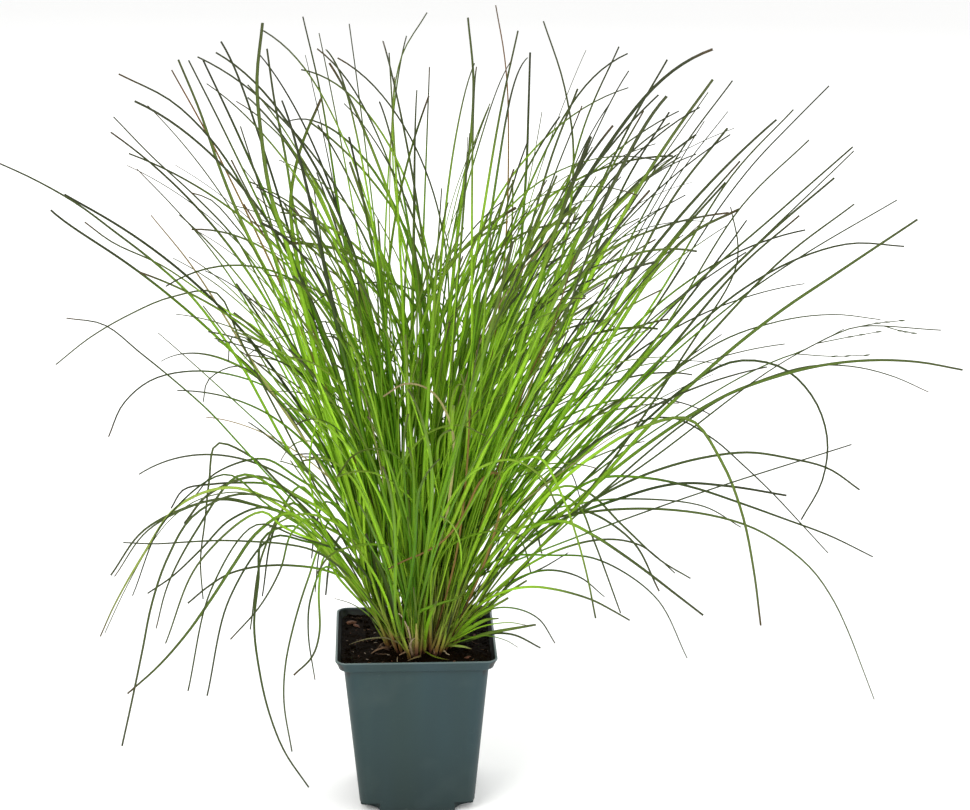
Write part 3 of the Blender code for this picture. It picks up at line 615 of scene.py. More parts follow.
# =================================================================================================
# Materials
# =================================================================================================
def leaf_material():
    """Fresh grass: straw at the foot, bright above it, deep grey-green towards the tip; ribbed, satin, and lit through."""
    m = Nodes("grass_leaf")
    t, across, rnd = m.attr("t"), m.attr("across"), m.attr("rnd")
    tone, dry, burn, under = m.attr("tone"), m.attr("dry"), m.attr("burn"), m.attr("under")
    drift = m.noise(m.xyz(m.math("MULTIPLY", across, 0.15), m.math("MULTIPLY", t, 9.0), m.math("MULTIPLY", rnd, 61.0)), 1.0, 3.0)
    fine = m.noise(m.xyz(m.math("MULTIPLY", across, 2.2), m.math("MULTIPLY", t, 60.0), m.math("MULTIPLY", rnd, 37.0)), 1.0, 2.0)
    tt = m.math("ADD", t, m.math("MULTIPLY", m.math("SUBTRACT", drift, 0.5), 0.22))
    deep = m.ramp(
        tt,
        [
            (0.0, (0.20, 0.15, 0.05)),
            (0.05, (0.13, 0.17, 0.012)),
            (0.16, (0.052, 0.150, 0.001)),
            (0.45, (0.088, 0.262, 0.003)),
            (0.70, (0.100, 0.245, 0.006)),
            (0.88, (0.095, 0.160, 0.014)),
            (1.0, (0.075, 0.098, 0.022)),
        ],
    )
    light = m.ramp(
        tt,
        [
            (0.0, (0.38, 0.30, 0.10)),
            (0.05, (0.42, 0.46, 0.10)),
            (0.16, (0.40, 0.66, 0.040)),
            (0.45, (0.45, 0.80, 0.040)),
            (0.70, (0.38, 0.66, 0.045)),
            (0.88, (0.25, 0.40, 0.040)),
            (1.0, (0.15, 0.20, 0.045)),
        ],
    )
    straw = m.ramp(
        m.math("ADD", t, m.math("MULTIPLY", m.math("SUBTRACT", fine, 0.5), 0.5)),
        [(0.0, (0.26, 0.16, 0.08)), (0.35, (0.50, 0.38, 0.19)), (0.7, (0.60, 0.48, 0.27)), (1.0, (0.36, 0.25, 0.15))],
    )
    base = m.mix(tone, deep, light)
    # ribs: fine paler veins along the blade, and the pale midrib
    veins = m.math("MULTIPLY_ADD", m.math("SINE", m.math("MULTIPLY", across, 17.0)), 0.5, 0.5)
    base = m.mix(m.math("MULTIPLY", veins, 0.30), base, m.mix(1.0, base, (0.62, 0.66, 0.50), "MULTIPLY"))
    rib = m.math("SUBTRACT", 1.0, m.math("MULTIPLY", m.math("ABSOLUTE", across), 4.0), clamp=True)
    base = m.mix(m.math("MULTIPLY", rib, 0.8), base, m.mix(1.0, base, (1.40, 1.28, 1.8), "MULTIPLY"))
    base = m.mix(m.math("MULTIPLY", m.math("SUBTRACT", fine, 0.42, clamp=True), 1.3), base, m.mix(1.0, base, (1.25, 1.12, 0.9), "MULTIPLY"))
    base = m.mix(m.math("MULTIPLY", under, 0.30), base, m.mix(1.0, base, (1.10, 1.06, 1.3), "MULTIPLY"))
    weathered = m.mix(tone, (0.034, 0.038, 0.021), (0.068, 0.077, 0.038))
    base = m.mix(m.math("MULTIPLY", m.attr("dull"), 0.90), base, weathered)
    straw = m.mix(m.math("LESS_THAN", tone, 0.35), straw, m.mix(1.0, straw, (0.66, 0.44, 0.30), "MULTIPLY"))
    base = m.mix(dry, base, straw)
    # scorched and cut tips
    end = m.math("MULTIPLY", m.math("MULTIPLY", m.math("SUBTRACT", t, 0.955, clamp=True), 30.0, clamp=True), burn, clamp=True)
    base = m.mix(m.math("MULTIPLY", end, 0.8), base, (0.105, 0.072, 0.036))
    rough = m.math("MULTIPLY_ADD", fine, 0.22, 0.36)
    height = m.math("ADD", m.math("MULTIPLY", veins, 0.6), m.math("MULTIPLY", fine, 0.4))
    normal = m.bump(height, 0.35, 0.00012)
    front = m.principled(base, rough, normal, specular=0.17)
    through = m.tree.nodes.new("ShaderNodeBsdfTranslucent")
    m._feed(through.inputs["Color"], m.mix(1.0, base, (1.25, 1.20, 0.40), "MULTIPLY"))
    m.tree.links.new(normal, through.inputs["Normal"])
    mixer = m.tree.nodes.new("ShaderNodeMixShader")
    mixer.inputs[0].default_value = 0.28
    m.tree.links.new(front, mixer.inputs[1])
    m.tree.links.new(through.outputs[0], mixer.inputs[2])
    return m.finish(mixer.outputs[0])


def sheath_material():
    m = Nodes("tiller_sheath")
    t, rnd = m.attr("t"), m.attr("rnd")
    streak = m.noise(m.place((1500, 1500, 160)), 1.0, 3.0)
    broad = m.noise(m.xyz(m.math("MULTIPLY", t, 3.0), 0.0, m.math("MULTIPLY", rnd, 53.0)), 1.0, 2.0)
    tt = m.math("ADD", t, m.math("MULTIPLY", m.math("SUBTRACT", broad, 0.5), 0.5))
    green = m.ramp(
        tt,
        [
            (0.0, (0.030, 0.012, 0.007)),
            (0.10, (0.105, 0.040, 0.020)),
            (0.22, (0.24, 0.135, 0.030)),
            (0.38, (0.32, 0.29, 0.050)),
            (0.62, (0.30, 0.40, 0.040)),
            (1.0, (0.20, 0.36, 0.020)),
        ],
    )
    pale = m.ramp(
        tt,
        [(0.0, (0.05, 0.022, 0.014)), (0.15, (0.24, 0.105, 0.062)), (0.4, (0.34, 0.24, 0.08)), (0.75, (0.36, 0.33, 0.09)), (1.0, (0.30, 0.32, 0.06))],
    )
    col = m.mix(m.math("GREATER_THAN", rnd, 0.90), green, pale)
    col = m.mix(m.math("MULTIPLY", streak, 0.6), col, m.mix(1.0, col, (0.45, 0.40, 0.30), "MULTIPLY"))
    normal = m.bump(streak, 0.5, 0.0003)
    return m.finish(m.principled(col, m.math("MULTIPLY_ADD", streak, 0.3, 0.42), normal, specular=0.35))


def straw_material():
    m = Nodes("dead_straw")
    t, rnd = m.attr("t"), m.attr("rnd")
    streak = m.noise(m.place((900, 900, 900)), 1.0, 4.0)
    a = m.ramp(t, [(0.0, (0.20, 0.12, 0.07)), (0.4, (0.52, 0.41, 0.24)), (1.0, (0.62, 0.53, 0.36))])
    b = m.ramp(t, [(0.0, (0.06, 0.03, 0.018)), (0.5, (0.15, 0.085, 0.045)), (1.0, (0.24, 0.15, 0.08))])
    col = m.mix(m.math("GREATER_THAN", rnd, 0.5), a, b)
    col = m.mix(streak, col, m.mix(1.0, col, (0.45, 0.42, 0.38), "MULTIPLY"))
    return m.finish(m.principled(col, 0.7, m.bump(streak, 0.4, 0.0003), specular=0.25))


def peat_material():
    """Moist dark peat: near black, with brown crumbs, pale specks and a slight wet sheen on some crumbs."""
    m = Nodes("moist_peat")
    here = m.place()
    big = m.noise(here, 140.0, 4.0)
    fine = m.noise(here, 900.0, 4.0, 0.65)
    cell = m.voronoi(here, 620.0)
    col = m.ramp(fine, [(0.25, (0.0012, 0.0006, 0.0002)), (0.5, (0.0034, 0.0019, 0.0006)), (0.72, (0.0110, 0.0056, 0.0018)), (0.9, (0.028, 0.0150, 0.0055))])
    col = m.mix(m.math("MULTIPLY", m.math("SUBTRACT", big, 0.45, clamp=True), 2.2, clamp=True), col, m.mix(1.0, col, (1.9, 1.45, 1.15), "MULTIPLY"))
    speck = m.math("GREATER_THAN", m.noise(here, 1500.0, 1.0), 0.735)
    col = m.mix(m.math("MULTIPLY", speck, 0.45), col, (0.12, 0.085, 0.05))
    height = m.math("SUBTRACT", m.math("MULTIPLY", fine, 1.0), m.math("MULTIPLY", cell, 0.5))
    rough = m.math("MULTIPLY_ADD", fine, 0.4, 0.5)
    return m.finish(m.principled(col, rough, m.bump(height, 0.9, 0.0007), specular=0.02))


def bark_material():
    m = Nodes("bark_chip")
    here = m.place((1, 1, 1))
    rnd = m.attr("rnd")
    grain = m.noise(here, 700.0, 4.0)
    a = m.ramp(grain, [(0.3, (0.035, 0.014, 0.008)), (0.55, (0.115, 0.045, 0.022)), (0.8, (0.22, 0.10, 0.05))])
    b = m.ramp(grain, [(0.3, (0.07, 0.05, 0.035)), (0.6, (0.20, 0.155, 0.11)), (0.85, (0.38, 0.31, 0.24))])
    col = m.mix(m.math("GREATER_THAN", rnd, 0.6), a, b)
    return m.finish(m.principled(col, 0.75, m.bump(grain, 0.8, 0.0006), specular=0.25))


def pot_material():
    """Injection-moulded polypropylene: slate blue-green, faint upright flow marks, fine pale dust and scuffs, a paler
    lip that is partly worn and partly a painted highlight, painted shade that darkens the wall towards the bottom, and
    painted shade on the inner wall under the rim.
    """
    m = Nodes("pot_plastic")
    up, lip, inner_wall_shade = m.attr("up"), m.attr("lip"), m.attr("inner_wall_shade")
    flow = m.noise(m.place((85, 85, 5.5)), 1.0, 3.0, 0.5)
    sweep = m.noise(m.place((34, 34, 3.0)), 1.0, 2.0, 0.5)
    cloud = m.noise(m.place(), 26.0, 3.0)
    pit = m.noise(m.place(), 1900.0, 2.0, 0.7)
    scuff = m.noise(m.place((260, 260, 900)), 1.0, 4.0, 0.6)
    # painted shade: the base colour is darker towards the bottom of the pot and lighter towards the rim
    col = m.ramp(up, [(0.0, (0.0085, 0.0225, 0.0225)), (0.45, (0.0125, 0.0325, 0.0345)), (1.0, (0.0140, 0.0370, 0.0400))])
    col = m.mix(m.math("MULTIPLY", m.math("SUBTRACT", flow, 0.5, clamp=True), 2.0, clamp=True), col, m.mix(1.0, col, (1.22, 1.18, 1.14), "MULTIPLY"))
    col = m.mix(m.math("MULTIPLY", m.math("SUBTRACT", 0.5, flow, clamp=True), 2.0, clamp=True), col, m.mix(1.0, col, (0.86, 0.90, 0.90), "MULTIPLY"))
    col = m.mix(m.math("MULTIPLY", m.math("SUBTRACT", cloud, 0.55, clamp=True), 1.6, clamp=True), col, (0.045, 0.066, 0.064))
    col = m.mix(m.math("MULTIPLY", m.math("SUBTRACT", scuff, 0.66, clamp=True), 3.0, clamp=True), col, (0.070, 0.095, 0.094))
    col = m.mix(m.math("MULTIPLY", m.math("SUBTRACT", sweep, 0.46, clamp=True), 3.2, clamp=True), col, m.mix(1.0, col, (1.02, 1.10, 1.26), "MULTIPLY"))
    col = m.mix(m.math("MULTIPLY", m.math("SUBTRACT", 0.48, sweep, clamp=True), 3.2, clamp=True), col, m.mix(1.0, col, (1.06, 1.02, 0.88), "MULTIPLY"))
    # painted highlight, partly wear: the rim's outer top edge is painted much paler than the wall
    col = m.mix(m.math("MULTIPLY", lip, 0.55), col, (0.15, 0.20, 0.20))
    # painted shade: the inner wall of the collar, from under the peat up to the rim, is painted near black, in patches
    col = m.mix(m.math("MULTIPLY", inner_wall_shade, m.math("MULTIPLY_ADD", scuff, -0.5, 1.15), clamp=True), col, (0.0060, 0.0052, 0.0040))
    height = m.math("ADD", m.math("MULTIPLY", pit, 0.5), m.math("MULTIPLY", flow, 0.7))
    rough = m.math("MULTIPLY_ADD", cloud, 0.22, 0.34)
    return m.finish(m.principled(col, rough, m.bump(height, 0.22, 0.00025), specular=0.36))


LEAF, SHEATH, STRAW, PEAT, BARK, POT = (
    leaf_material(),
    sheath_material(),
    straw_material(),
    peat_material(),
    bark_material(),
    pot_material(),
)

# =================================================================================================
# The pot
# =================================================================================================


def ring_square(half, radius, z, per_corner=14):
    ring = []
    for corner in range(4):
        cx = (half - radius) * (1 if corner in (0, 3) else -1)
        cy = (half - radius) * (1 if corner in (0, 1) else -1)
        for k in range(per_corner + 1):
            a = math.pi / 2 * (corner + k / per_corner)
            ring.append((cx + radius * math.cos(a), cy + radius * math.sin(a), z))
        # a few points along the side that follows, so that the wall can bow a little
        nx = (half - radius) * (1 if (corner + 1) % 4 in (0, 3) else -1)
        ny = (half - radius) * (1 if (corner + 1) % 4 in (0, 1) else -1)
        a = math.pi / 2 * (corner + 1)
        p = (cx + radius * math.cos(a), cy + radius * math.sin(a))
        q = (nx + radius * math.cos(a), ny + radius * math.sin(a))
        for k in range(1, 8):
            s = k / 8
            ring.append((p[0] + (q[0] - p[0]) * s, p[1] + (q[1] - p[1]) * s, z))
    return ring


def lofted(name, rings):
    bm = bmesh.new()
    made = [[bm.verts.new(Vector(p) * MM) for p in ring] for ring in rings]
    n = len(rings[0])
    for low, high in zip(made[:-1], made[1:]):
        for k in range(n):
            bm.faces.new((low[k], low[(k + 1) % n], high[(k + 1) % n], high[k]))
    bm.faces.new(list(reversed(made[0])))
    bm.faces.new(made[-1])
    bmesh.ops.recalc_face_normals(bm, faces=bm.faces)
    mesh = bpy.data.meshes.new(name)
    bm.to_mesh(mesh)
    bm.free()
    obj = bpy.data.objects.new(name, mesh)
    scene.collection.objects.link(obj)
    return obj


def rod(name, radius, low, high, x, y, segments=48):
    bm = bmesh.new()
    bmesh.ops.create_cone(bm, cap_ends=True, segments=segments, radius1=radius * MM, radius2=radius * MM, depth=(high - low) * MM)
    mesh = bpy.data.meshes.new(name)
    bm.to_mesh(mesh)
    bm.free()
    obj = bpy.data.objects.new(name, mesh)
    obj.location = Vector((x, y, 0.5 * (low + high))) * MM
    scene.collection.objects.link(obj)
    return obj


def subtract(obj, cutter):
    mod = obj.modifiers.new("cut", "BOOLEAN")
    mod.operation = "DIFFERENCE"
    mod.object = cutter
    mod.solver = "EXACT"


def baked(obj):
    """The object's evaluated mesh, with its modifiers gone."""
    bpy.context.view_layer.update()
    mesh = bpy.data.meshes.new_from_object(obj.evaluated_get(bpy.context.evaluated_depsgraph_get()))
    obj.modifiers.clear()
    obj.data = mesh
    return obj


def wall_half(z):
    return FOOT_HALF + (NECK_HALF - FOOT_HALF) * z / NECK_Z


def collar_in(z):
    """Half the inner width of the pot at a height within its collar."""
    return float(np.interp(z, [NECK_Z, RIM_FOOT_Z + 0.9, 93.6], [wall_half(NECK_Z) - WALL, RIM_FOOT_HALF - WALL, RIM_HALF - 0.45 - WALL]))


def corner_r(z):
    return CORNER_R[0] + (CORNER_R[1] - CORNER_R[0]) * z / POT_HEIGHT


def make_pot():
    outer = [(FOOT_HALF - 0.7, 0.0), (FOOT_HALF - 0.2, 0.15), (wall_half(0.6), 0.6)]
    outer += [(wall_half(z), z) for z in np.linspace(4, NECK_Z - 0.5, 20)]
    outer += [
        (wall_half(NECK_Z - 0.1) + 0.05, NECK_Z - 0.1),
        (NECK_HALF + 0.45, NECK_Z + 0.22),
        (NECK_HALF + 1.3, NECK_Z + 0.38),
        (RIM_FOOT_HALF - 0.55, NECK_Z + 0.55),
        (RIM_FOOT_HALF - 0.15, NECK_Z + 0.85),
        (RIM_FOOT_HALF + 0.05, NECK_Z + 1.3),
        (RIM_FOOT_HALF + 0.6, 91.5),
        (RIM_HALF - 0.45, 93.6),
        (RIM_HALF - 0.05, 94.25),
        (RIM_HALF, 94.6),
        (RIM_HALF - 0.12, 94.87),
        (RIM_HALF - 0.4, 95.0),
    ]
    pot = lofted("pot_shell", [ring_square(h, corner_r(z), z) for h, z in outer])
    inner = [
        (wall_half(FLOOR) - WALL - 0.6, FLOOR),
        (wall_half(FLOOR + 0.6) - WALL, FLOOR + 0.6),
        (wall_half(45) - WALL, 45),
        (wall_half(NECK_Z) - WALL, NECK_Z),
        (RIM_FOOT_HALF - WALL - 0.9, NECK_Z + 1.3),
        (RIM_FOOT_HALF - WALL, RIM_FOOT_Z + 0.9),
        (RIM_HALF - 0.45 - WALL, 93.6),
        (RIM_HALF - 0.45 - WALL + 0.1, 94.55),
        (RIM_HALF - WALL - 0.05, 95.0),
        (RIM_HALF - WALL + 1.0, 97.0),
    ]
    cavity = lofted("cavity_cut", [ring_square(h, corner_r(z) - 1.0, z) for h, z in inner])
    cutters = [cavity]
    for sx in (-1, 1):
        for sy in (-1, 1):
            x, y = sx * FOOT_HALF, sy * FOOT_HALF
            shelf = rod("shelf_cut", NOTCH_R + WALL, -4, NOTCH_Z + FLOOR, x, y)
            subtract(cavity, shelf)
            notch = rod("notch_cut", NOTCH_R, -3, NOTCH_Z, x, y)
            subtract(pot, notch)
            drain = rod("drain_cut", DRAIN_R, NOTCH_Z - 2, NOTCH_Z + FLOOR + 2, sx * DRAIN_AT, sy * DRAIN_AT, 28)
            subtract(pot, drain)
            cutters += [shelf, notch, drain]
    subtract(pot, cavity)
    baked(pot)
    for c in cutters:
        bpy.data.objects.remove(c)
    mesh = pot.data
    bm = bmesh.new()
    bm.from_mesh(mesh)
    bmesh.ops.dissolve_degenerate(bm, dist=1e-6, edges=bm.edges)
    # the walls of such a pot are never quite flat: they bow in by a few tenths between the corners
    for v in bm.verts:
        x, y, z = v.co.x / MM, v.co.y / MM, v.co.z / MM
        h = wall_half(min(z, NECK_Z))
        if 7 < z < NECK_Z - 1:
            lift = math.sin(math.pi * (z - 7) / (NECK_Z - 8))
            if abs(abs(x) - h) < 1.4 and abs(y) < h:
                v.co.x -= math.copysign(0.30 * lift * math.cos(0.5 * math.pi * y / h) ** 2, x) * MM
            if abs(abs(y) - h) < 1.4 and abs(x) < h:
                v.co.y -= math.copysign(0.30 * lift * math.cos(0.5 * math.pi * x / h) ** 2, y) * MM
    bm.to_mesh(mesh)
    bm.free()
    co = np.empty(len(mesh.vertices) * 3)
    mesh.vertices.foreach_get("co", co)
    co = co.reshape(-1, 3) / MM
    # up: share of the pot's height, which the pot material uses to paint shade darker towards the bottom
    up = np.clip(co[:, 2] / POT_HEIGHT, 0, 1)
    edge = np.maximum(np.abs(co[:, 0]), np.abs(co[:, 1]))
    # lip: the rim's outer top edge, painted paler in the pot material, partly as wear and partly as a highlight
    lip = np.clip((co[:, 2] - 94.3) / 0.5, 0, 1) * (edge > 42)
    # the mask of the collar's inner wall up to the rim, which the pot material paints near black as shade
    inside = edge < np.interp(co[:, 2], [NECK_Z, RIM_FOOT_Z + 0.9, 93.6, 94.6], [wall_half(NECK_Z) - 0.8 * WALL, RIM_FOOT_HALF - 0.8 * WALL, RIM_HALF - 0.45 - 0.8 * WALL, RIM_HALF - 0.45 - 0.8 * WALL])
    inner_wall_shade = inside * (co[:, 2] > NECK_Z - 1) * np.clip((94.8 - co[:, 2]) / 0.5, 0, 1)
    for name, a in (("up", up), ("lip", lip), ("inner_wall_shade", inner_wall_shade)):
        mesh.attributes.new(name, "FLOAT", "POINT").data.foreach_set("value", a.astype(np.float32))
    mesh.shade_smooth()
    mesh.set_sharp_from_angle(angle=math.radians(32))
    mesh.materials.clear()
    mesh.materials.append(POT)
    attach(pot, ROOT)
    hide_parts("pot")
    return pot


make_pot()

# =================================================================================================
# The peat
# =================================================================================================
NECK_IN = collar_in(SOIL_Z) - 0.3


def peat_top(x, y):
    """Height of the peat: crumbly, a little lower in places by the wall, raised round the crown."""
    p = Vector((x * 0.11, y * 0.11, 3.1))
    h = 0.75 * noise.noise(p)
    h += 0.62 * noise.noise(Vector((x * 0.33, y * 0.33, 7.7)))
    h += 0.50 * abs(noise.noise(Vector((x * 0.85, y * 0.85, 1.3))))
    h += 0.34 * abs(noise.noise(Vector((x * 1.9, y * 1.9, 9.1))))
    rise = max(0.0, 1.0 - math.hypot((x - CROWN_X) / 27.0, (y - CROWN_Y) / 24.0))
    side = max(abs(x), abs(y)) / NECK_IN
    return SOIL_Z + 0.35 + h + 1.8 * rise + 0.7 * max(0.0, side - 0.9) * 10 * (0.4 + 0.6 * noise.noise(Vector((x * 0.2, y * 0.2, 5))))


def make_peat():
    n = 170
    bag = Bag()
    side = np.linspace(-1, 1, n)
    r = corner_r(SOIL_Z) - 1.0
    inner = NECK_IN - r
    verts, attr = [], []
    for j in range(n):
        for i in range(n):
            x, y = side[i] * NECK_IN, side[j] * NECK_IN
            # round the corners off by pulling points in along the diagonal
            cx, cy = max(abs(x) - inner, 0.0), max(abs(y) - inner, 0.0)
            if cx > 0 and cy > 0:
                d = math.hypot(cx, cy)
                m = max(cx, cy)
                x = math.copysign(inner + cx * m / d, x)
                y = math.copysign(inner + cy * m / d, y)
            verts.append((x, y, peat_top(x, y)))
    faces, uvs = [], []
    for j in range(n - 1):
        for i in range(n - 1):
            a = j * n + i
            faces.append((a, a + 1, a + n + 1, a + n))
            u0, u1, v0, v1 = i / (n - 1) * 0.9, (i + 1) / (n - 1) * 0.9, j / (n - 1) * 0.9, (j + 1) / (n - 1) * 0.9
            uvs.append(((u0, v0), (u1, v0), (u1, v1), (u0, v1)))
    # the sides and the underside of the root ball, down inside the pot
    loop = [i for i in range(n)] + [j * n + n - 1 for j in range(1, n)] + [(n - 1) * n + i for i in range(n - 2, -1, -1)]
    loop += [j * n for j in range(n - 2, 0, -1)]
    m = len(loop)
    last = loop
    floor_z = NOTCH_Z + FLOOR + 0.6
    levels = [(NECK_Z + 0.5, collar_in(NECK_Z + 0.5) - 0.8), (NECK_Z - 0.4, wall_half(NECK_Z - 0.4) - WALL - GAP)]
    levels += [(floor_z, wall_half(floor_z) - WALL - GAP)]
    for step, (z, half) in enumerate(levels):
        k = half / NECK_IN
        ring = []
        for i in loop:
            ring.append(len(verts))
            verts.append((verts[i][0] * k, verts[i][1] * k, z))
        v1 = 0.97 - 0.012 * step
        for i in range(m):
            j = (i + 1) % m
            faces.append((last[j], last[i], ring[i], ring[j]))
            u0, u1 = i / m, (i + 1) / m
            uvs.append(((u1, v1), (u0, v1), (u0, v1 - 0.011), (u1, v1 - 0.011)))
        last = ring
    faces.append(tuple(reversed(last)))
    uvs.append(tuple((0.95 + 0.02 * math.cos(6.283 * i / m), 0.5 + 0.02 * math.sin(6.283 * i / m)) for i in range(m - 1, -1, -1)))
    bag.add(verts, faces, uvs)
    return bag.make("peat", PEAT, ["soil"], sharp=55)


make_peat()


def lump(bag, at, size, seed, column, columns, flat=(1, 1, 1), **attrs):
    """A rough crumb or chip: a small ball pushed in and out by noise."""
    bm = bmesh.new()
    bmesh.ops.create_icosphere(bm, subdivisions=2 if max(size, 0) > 0.9 else 1, radius=1.0)
    turn = Matrix.Rotation(seed * 1.7, 3, "Z") @ Matrix.Rotation(0.35 * math.sin(seed * 3.3), 3, "X")
    verts = []
    for v in bm.verts:
        p = v.co.copy()
        p *= 1 + 0.55 * noise.noise(p * 1.3 + Vector((seed * 3.1, 0, 0))) + 0.3 * noise.noise(p * 3.1 + Vector((0, seed, 0)))
        p = turn @ Vector((p.x * flat[0], p.y * flat[1], p.z * flat[2]))
        verts.append((at[0] + p.x * size, at[1] + p.y * size, at[2] + p.z * size))
    faces = [tuple(v.index for v in f.verts) for f in bm.faces]
    u0 = (column % columns + 0.1) / columns
    v0 = (column // columns % columns + 0.1) / columns
    s = 0.8 / columns
    uvs = [tuple((u0 + s * (0.5 + 0.5 * bm.verts[i].co.x), v0 + s * (0.5 + 0.5 * bm.verts[i].co.y)) for i in f) for f in faces if bm.verts.ensure_lookup_table() is None]
    bm.free()
    bag.add(verts, faces, uvs, **attrs)


def scatter_on_peat(count, keep_out=1.0):
    spots = []
    while len(spots) < count:
        x, y = RNG.uniform(-NECK_IN + 1.2, NECK_IN - 1.2, 2)
        if math.hypot((x - CROWN_X) / CROWN_RX, (y - CROWN_Y) / CROWN_RY) < keep_out:
            continue
        if math.hypot(max(abs(x) - 36.8, 0), max(abs(y) - 36.8, 0)) > 4.6:
            continue
        spots.append((float(x), float(y)))
    return spots


crumbs = Bag()
for i, (x, y) in enumerate(scatter_on_peat(620, 0.75)):
    size = float(RNG.choice([0.35, 0.5, 0.7, 1.0, 1.45], p=[0.3, 0.3, 0.22, 0.13, 0.05]))
    lump(crumbs, (x, y, peat_top(x, y) + 0.25 * size), size, i * 0.37, i, 26, (1, 0.85, 0.7), rnd=float(RNG.random()))
crumbs.make("peat_crumbs", PEAT, sharp=50)

chips = Bag()
CHIPS = [  # x, y, size, seed, share: the larger bark bits that lie on top
    (-37.0, 28.0, 2.4, 2.0, 0.2),
    (-33.5, 24.5, 1.9, 5.0, 0.3),
    (-28.5, -20.0, 0.7, 3.0, 0.8),
    (-24.5, -14.0, 0.6, 7.0, 0.9),
    (-15.7, -24.0, 0.7, 9.0, 0.7),
    (29.0, -28.0, 1.5, 4.0, 0.1),
    (21.0, -34.0, 1.0, 6.0, 0.2),
    (33.5, 5.0, 1.3, 8.0, 0.3),
    (-31.0, 0.0, 1.2, 10.0, 0.4),
    (10.0, 31.0, 1.8, 11.0, 0.2),
    (-14.0, 33.0, 1.4, 12.0, 0.8),
    (31.0, 29.0, 1.6, 13.0, 0.1),
]
for i, (x, y, size, seed, rnd) in enumerate(CHIPS):
    lump(chips, (x, y, peat_top(x, y) + 0.35), size, seed, i, 9, (1.35, 0.62, 0.38), rnd=rnd)
for i, (x, y) in enumerate(scatter_on_peat(60, 0.95)):
    lump(chips, (x, y, peat_top(x, y) + 0.2), float(RNG.uniform(0.3, 0.75)), 20 + i * 0.9, 12 + i, 9, (1.5, 0.5, 0.35), rnd=float(RNG.random()))
chips.make("bark_chips", BARK, sharp=40)

roots = Bag()
for i, (x, y) in enumerate(scatter_on_peat(12, 0.8)):
    a = RNG.uniform(0, 2 * math.pi)
    length = RNG.uniform(3, 11)
    bend = RNG.uniform(-1.2, 1.2)
    path = []
    for s in np.linspace(0, 1, 9):
        aa = a + bend * s
        px, py = x + math.cos(aa) * length * (s - 0.5), y + math.sin(aa) * length * (s - 0.5)
        px, py = max(-40.5, min(40.5, px)), max(-40.5, min(40.5, py))
        path.append((px, py, peat_top(px, py) + 0.12 + 0.5 * math.sin(math.pi * s)))
    path = np.array(path) + RNG.normal(0, 0.06, (9, 3))
    tube(roots, path, float(RNG.uniform(0.08, 0.16)), 5, i, 12, rnd=float(0.45 + 0.55 * RNG.random()))
roots.make("root_fibres", STRAW)

# =================================================================================================
# The plant
# =================================================================================================
# More single blades that lie among the locks, in the same way as LEAVES.
MORE = [
    (1.4, 30, [(-47, 202), (-84, 269), (-100, 279), (-137, 305), (-165, 318), (-180, 329)]),
    (1.3, -60, [(-36, 138), (-50, 162), (-59, 142), (-67, 118), (-72, 96), (-73, 76), (-69, 50)]),
    (1.3, -80, [(-39, 150), (-57, 183), (-67, 176), (-73, 158), (-84, 140), (-100, 124)]),
    (1.4, 40, [(-48, 142), (-81, 166), (-103, 158), (-122, 137), (-139, 119), (-154, 107)]),
    (1.4, -20, [(-53, 160), (-91, 185), (-117, 183), (-134, 172), (-148, 154), (-162, 129), (-173, 106)]),
    (1.6, 60, [(66, 147), (119, 165), (152, 170), (183, 165), (219, 155)]),
    (1.4, -30, [(48, 154), (75, 183), (90, 178), (99, 158), (114, 117)]),
    (1.5, 80, [(61, 153), (85, 170), (101, 164), (122, 140), (146, 113), (166, 97)]),
    (1.2, -10, [(34, 105), (44, 112), (58, 112), (70, 106), (79, 92)]),
    (1.4, -60, [(102, 227), (171, 298), (206, 325), (253, 356)]),
    (1.2, 90, [(95, 193), (172, 247), (212, 258), (246, 259), (276, 253)]),
    (1.4, -40, [(103, 196), (148, 269), (171, 311), (173, 326), (168, 349)]),
    (1.0, 60, [(4, 228), (-10, 365), (-5, 414), (10, 439)]),
    (1.1, -30, [(47, 293), (51, 393), (49, 426), (44, 455)]),
    (1.2, -50, [(-38, 192), (-81, 323), (-94, 343), (-106, 357), (-116, 361)]),
    (1.1, 60, [(-47, 196), (-77, 233), (-94, 256), (-102, 256), (-105, 240)]),
    (1.1, -30, [(-44, 197), (-76, 243), (-94, 261), (-111, 254), (-114, 242)]),
    (1.3, -70, [(-42, 140), (-50, 156), (-53, 140), (-53, 118), (-57, 107), (-67, 99)]),
    (1.3, 30, [(-39, 128), (-50, 134), (-59, 113), (-61, 89), (-58, 56)]),
    (1.5, 20, [(-53, 147), (-85, 186), (-98, 188), (-123, 154), (-140, 121), (-148, 93)]),
    (1.2, 70, [(44, 104), (56, 112), (77, 115), (92, 118)]),
    (1.4, 40, [(43, 116), (72, 125), (94, 118), (111, 101)]),
    (1.3, -20, [(28, 95), (42, 100), (55, 100), (70, 93)]),
]
# The tips of the free upright blades that make the clump's ragged top edge: x, z, depth.
TIPS = [
    (-58, 440, 40), (-32, 450, -60), (-50, 428, 60), (-12, 432, -40), (12, 404, 90), (54, 446, -60), (94, 396, 60),
    (84, 414, -100), (114, 424, 30), (118, 406, -70), (144, 412, 60), (136, 398, -30), (170, 390, 80), (166, 418, -50),
    (176, 386, 40), (156, 404, -110), (188, 352, 70), (168, 358, -20), (208, 392, 10), (204, 390, -70), (234, 350, -40),
    (250, 362, 60), (230, 356, 0), (-132, 408, 60), (-114, 432, -60), (-112, 420, 20), (-92, 386, -90), (-146, 326, 60),
    (224, 292, -80), (226, 316, 90), (36, 344, 150), (12, 384, -160),
]
STALK = [(82, 171), (172, 233), (203, 248), (218, 253), (235, 261), (251, 266), (299, 262)]

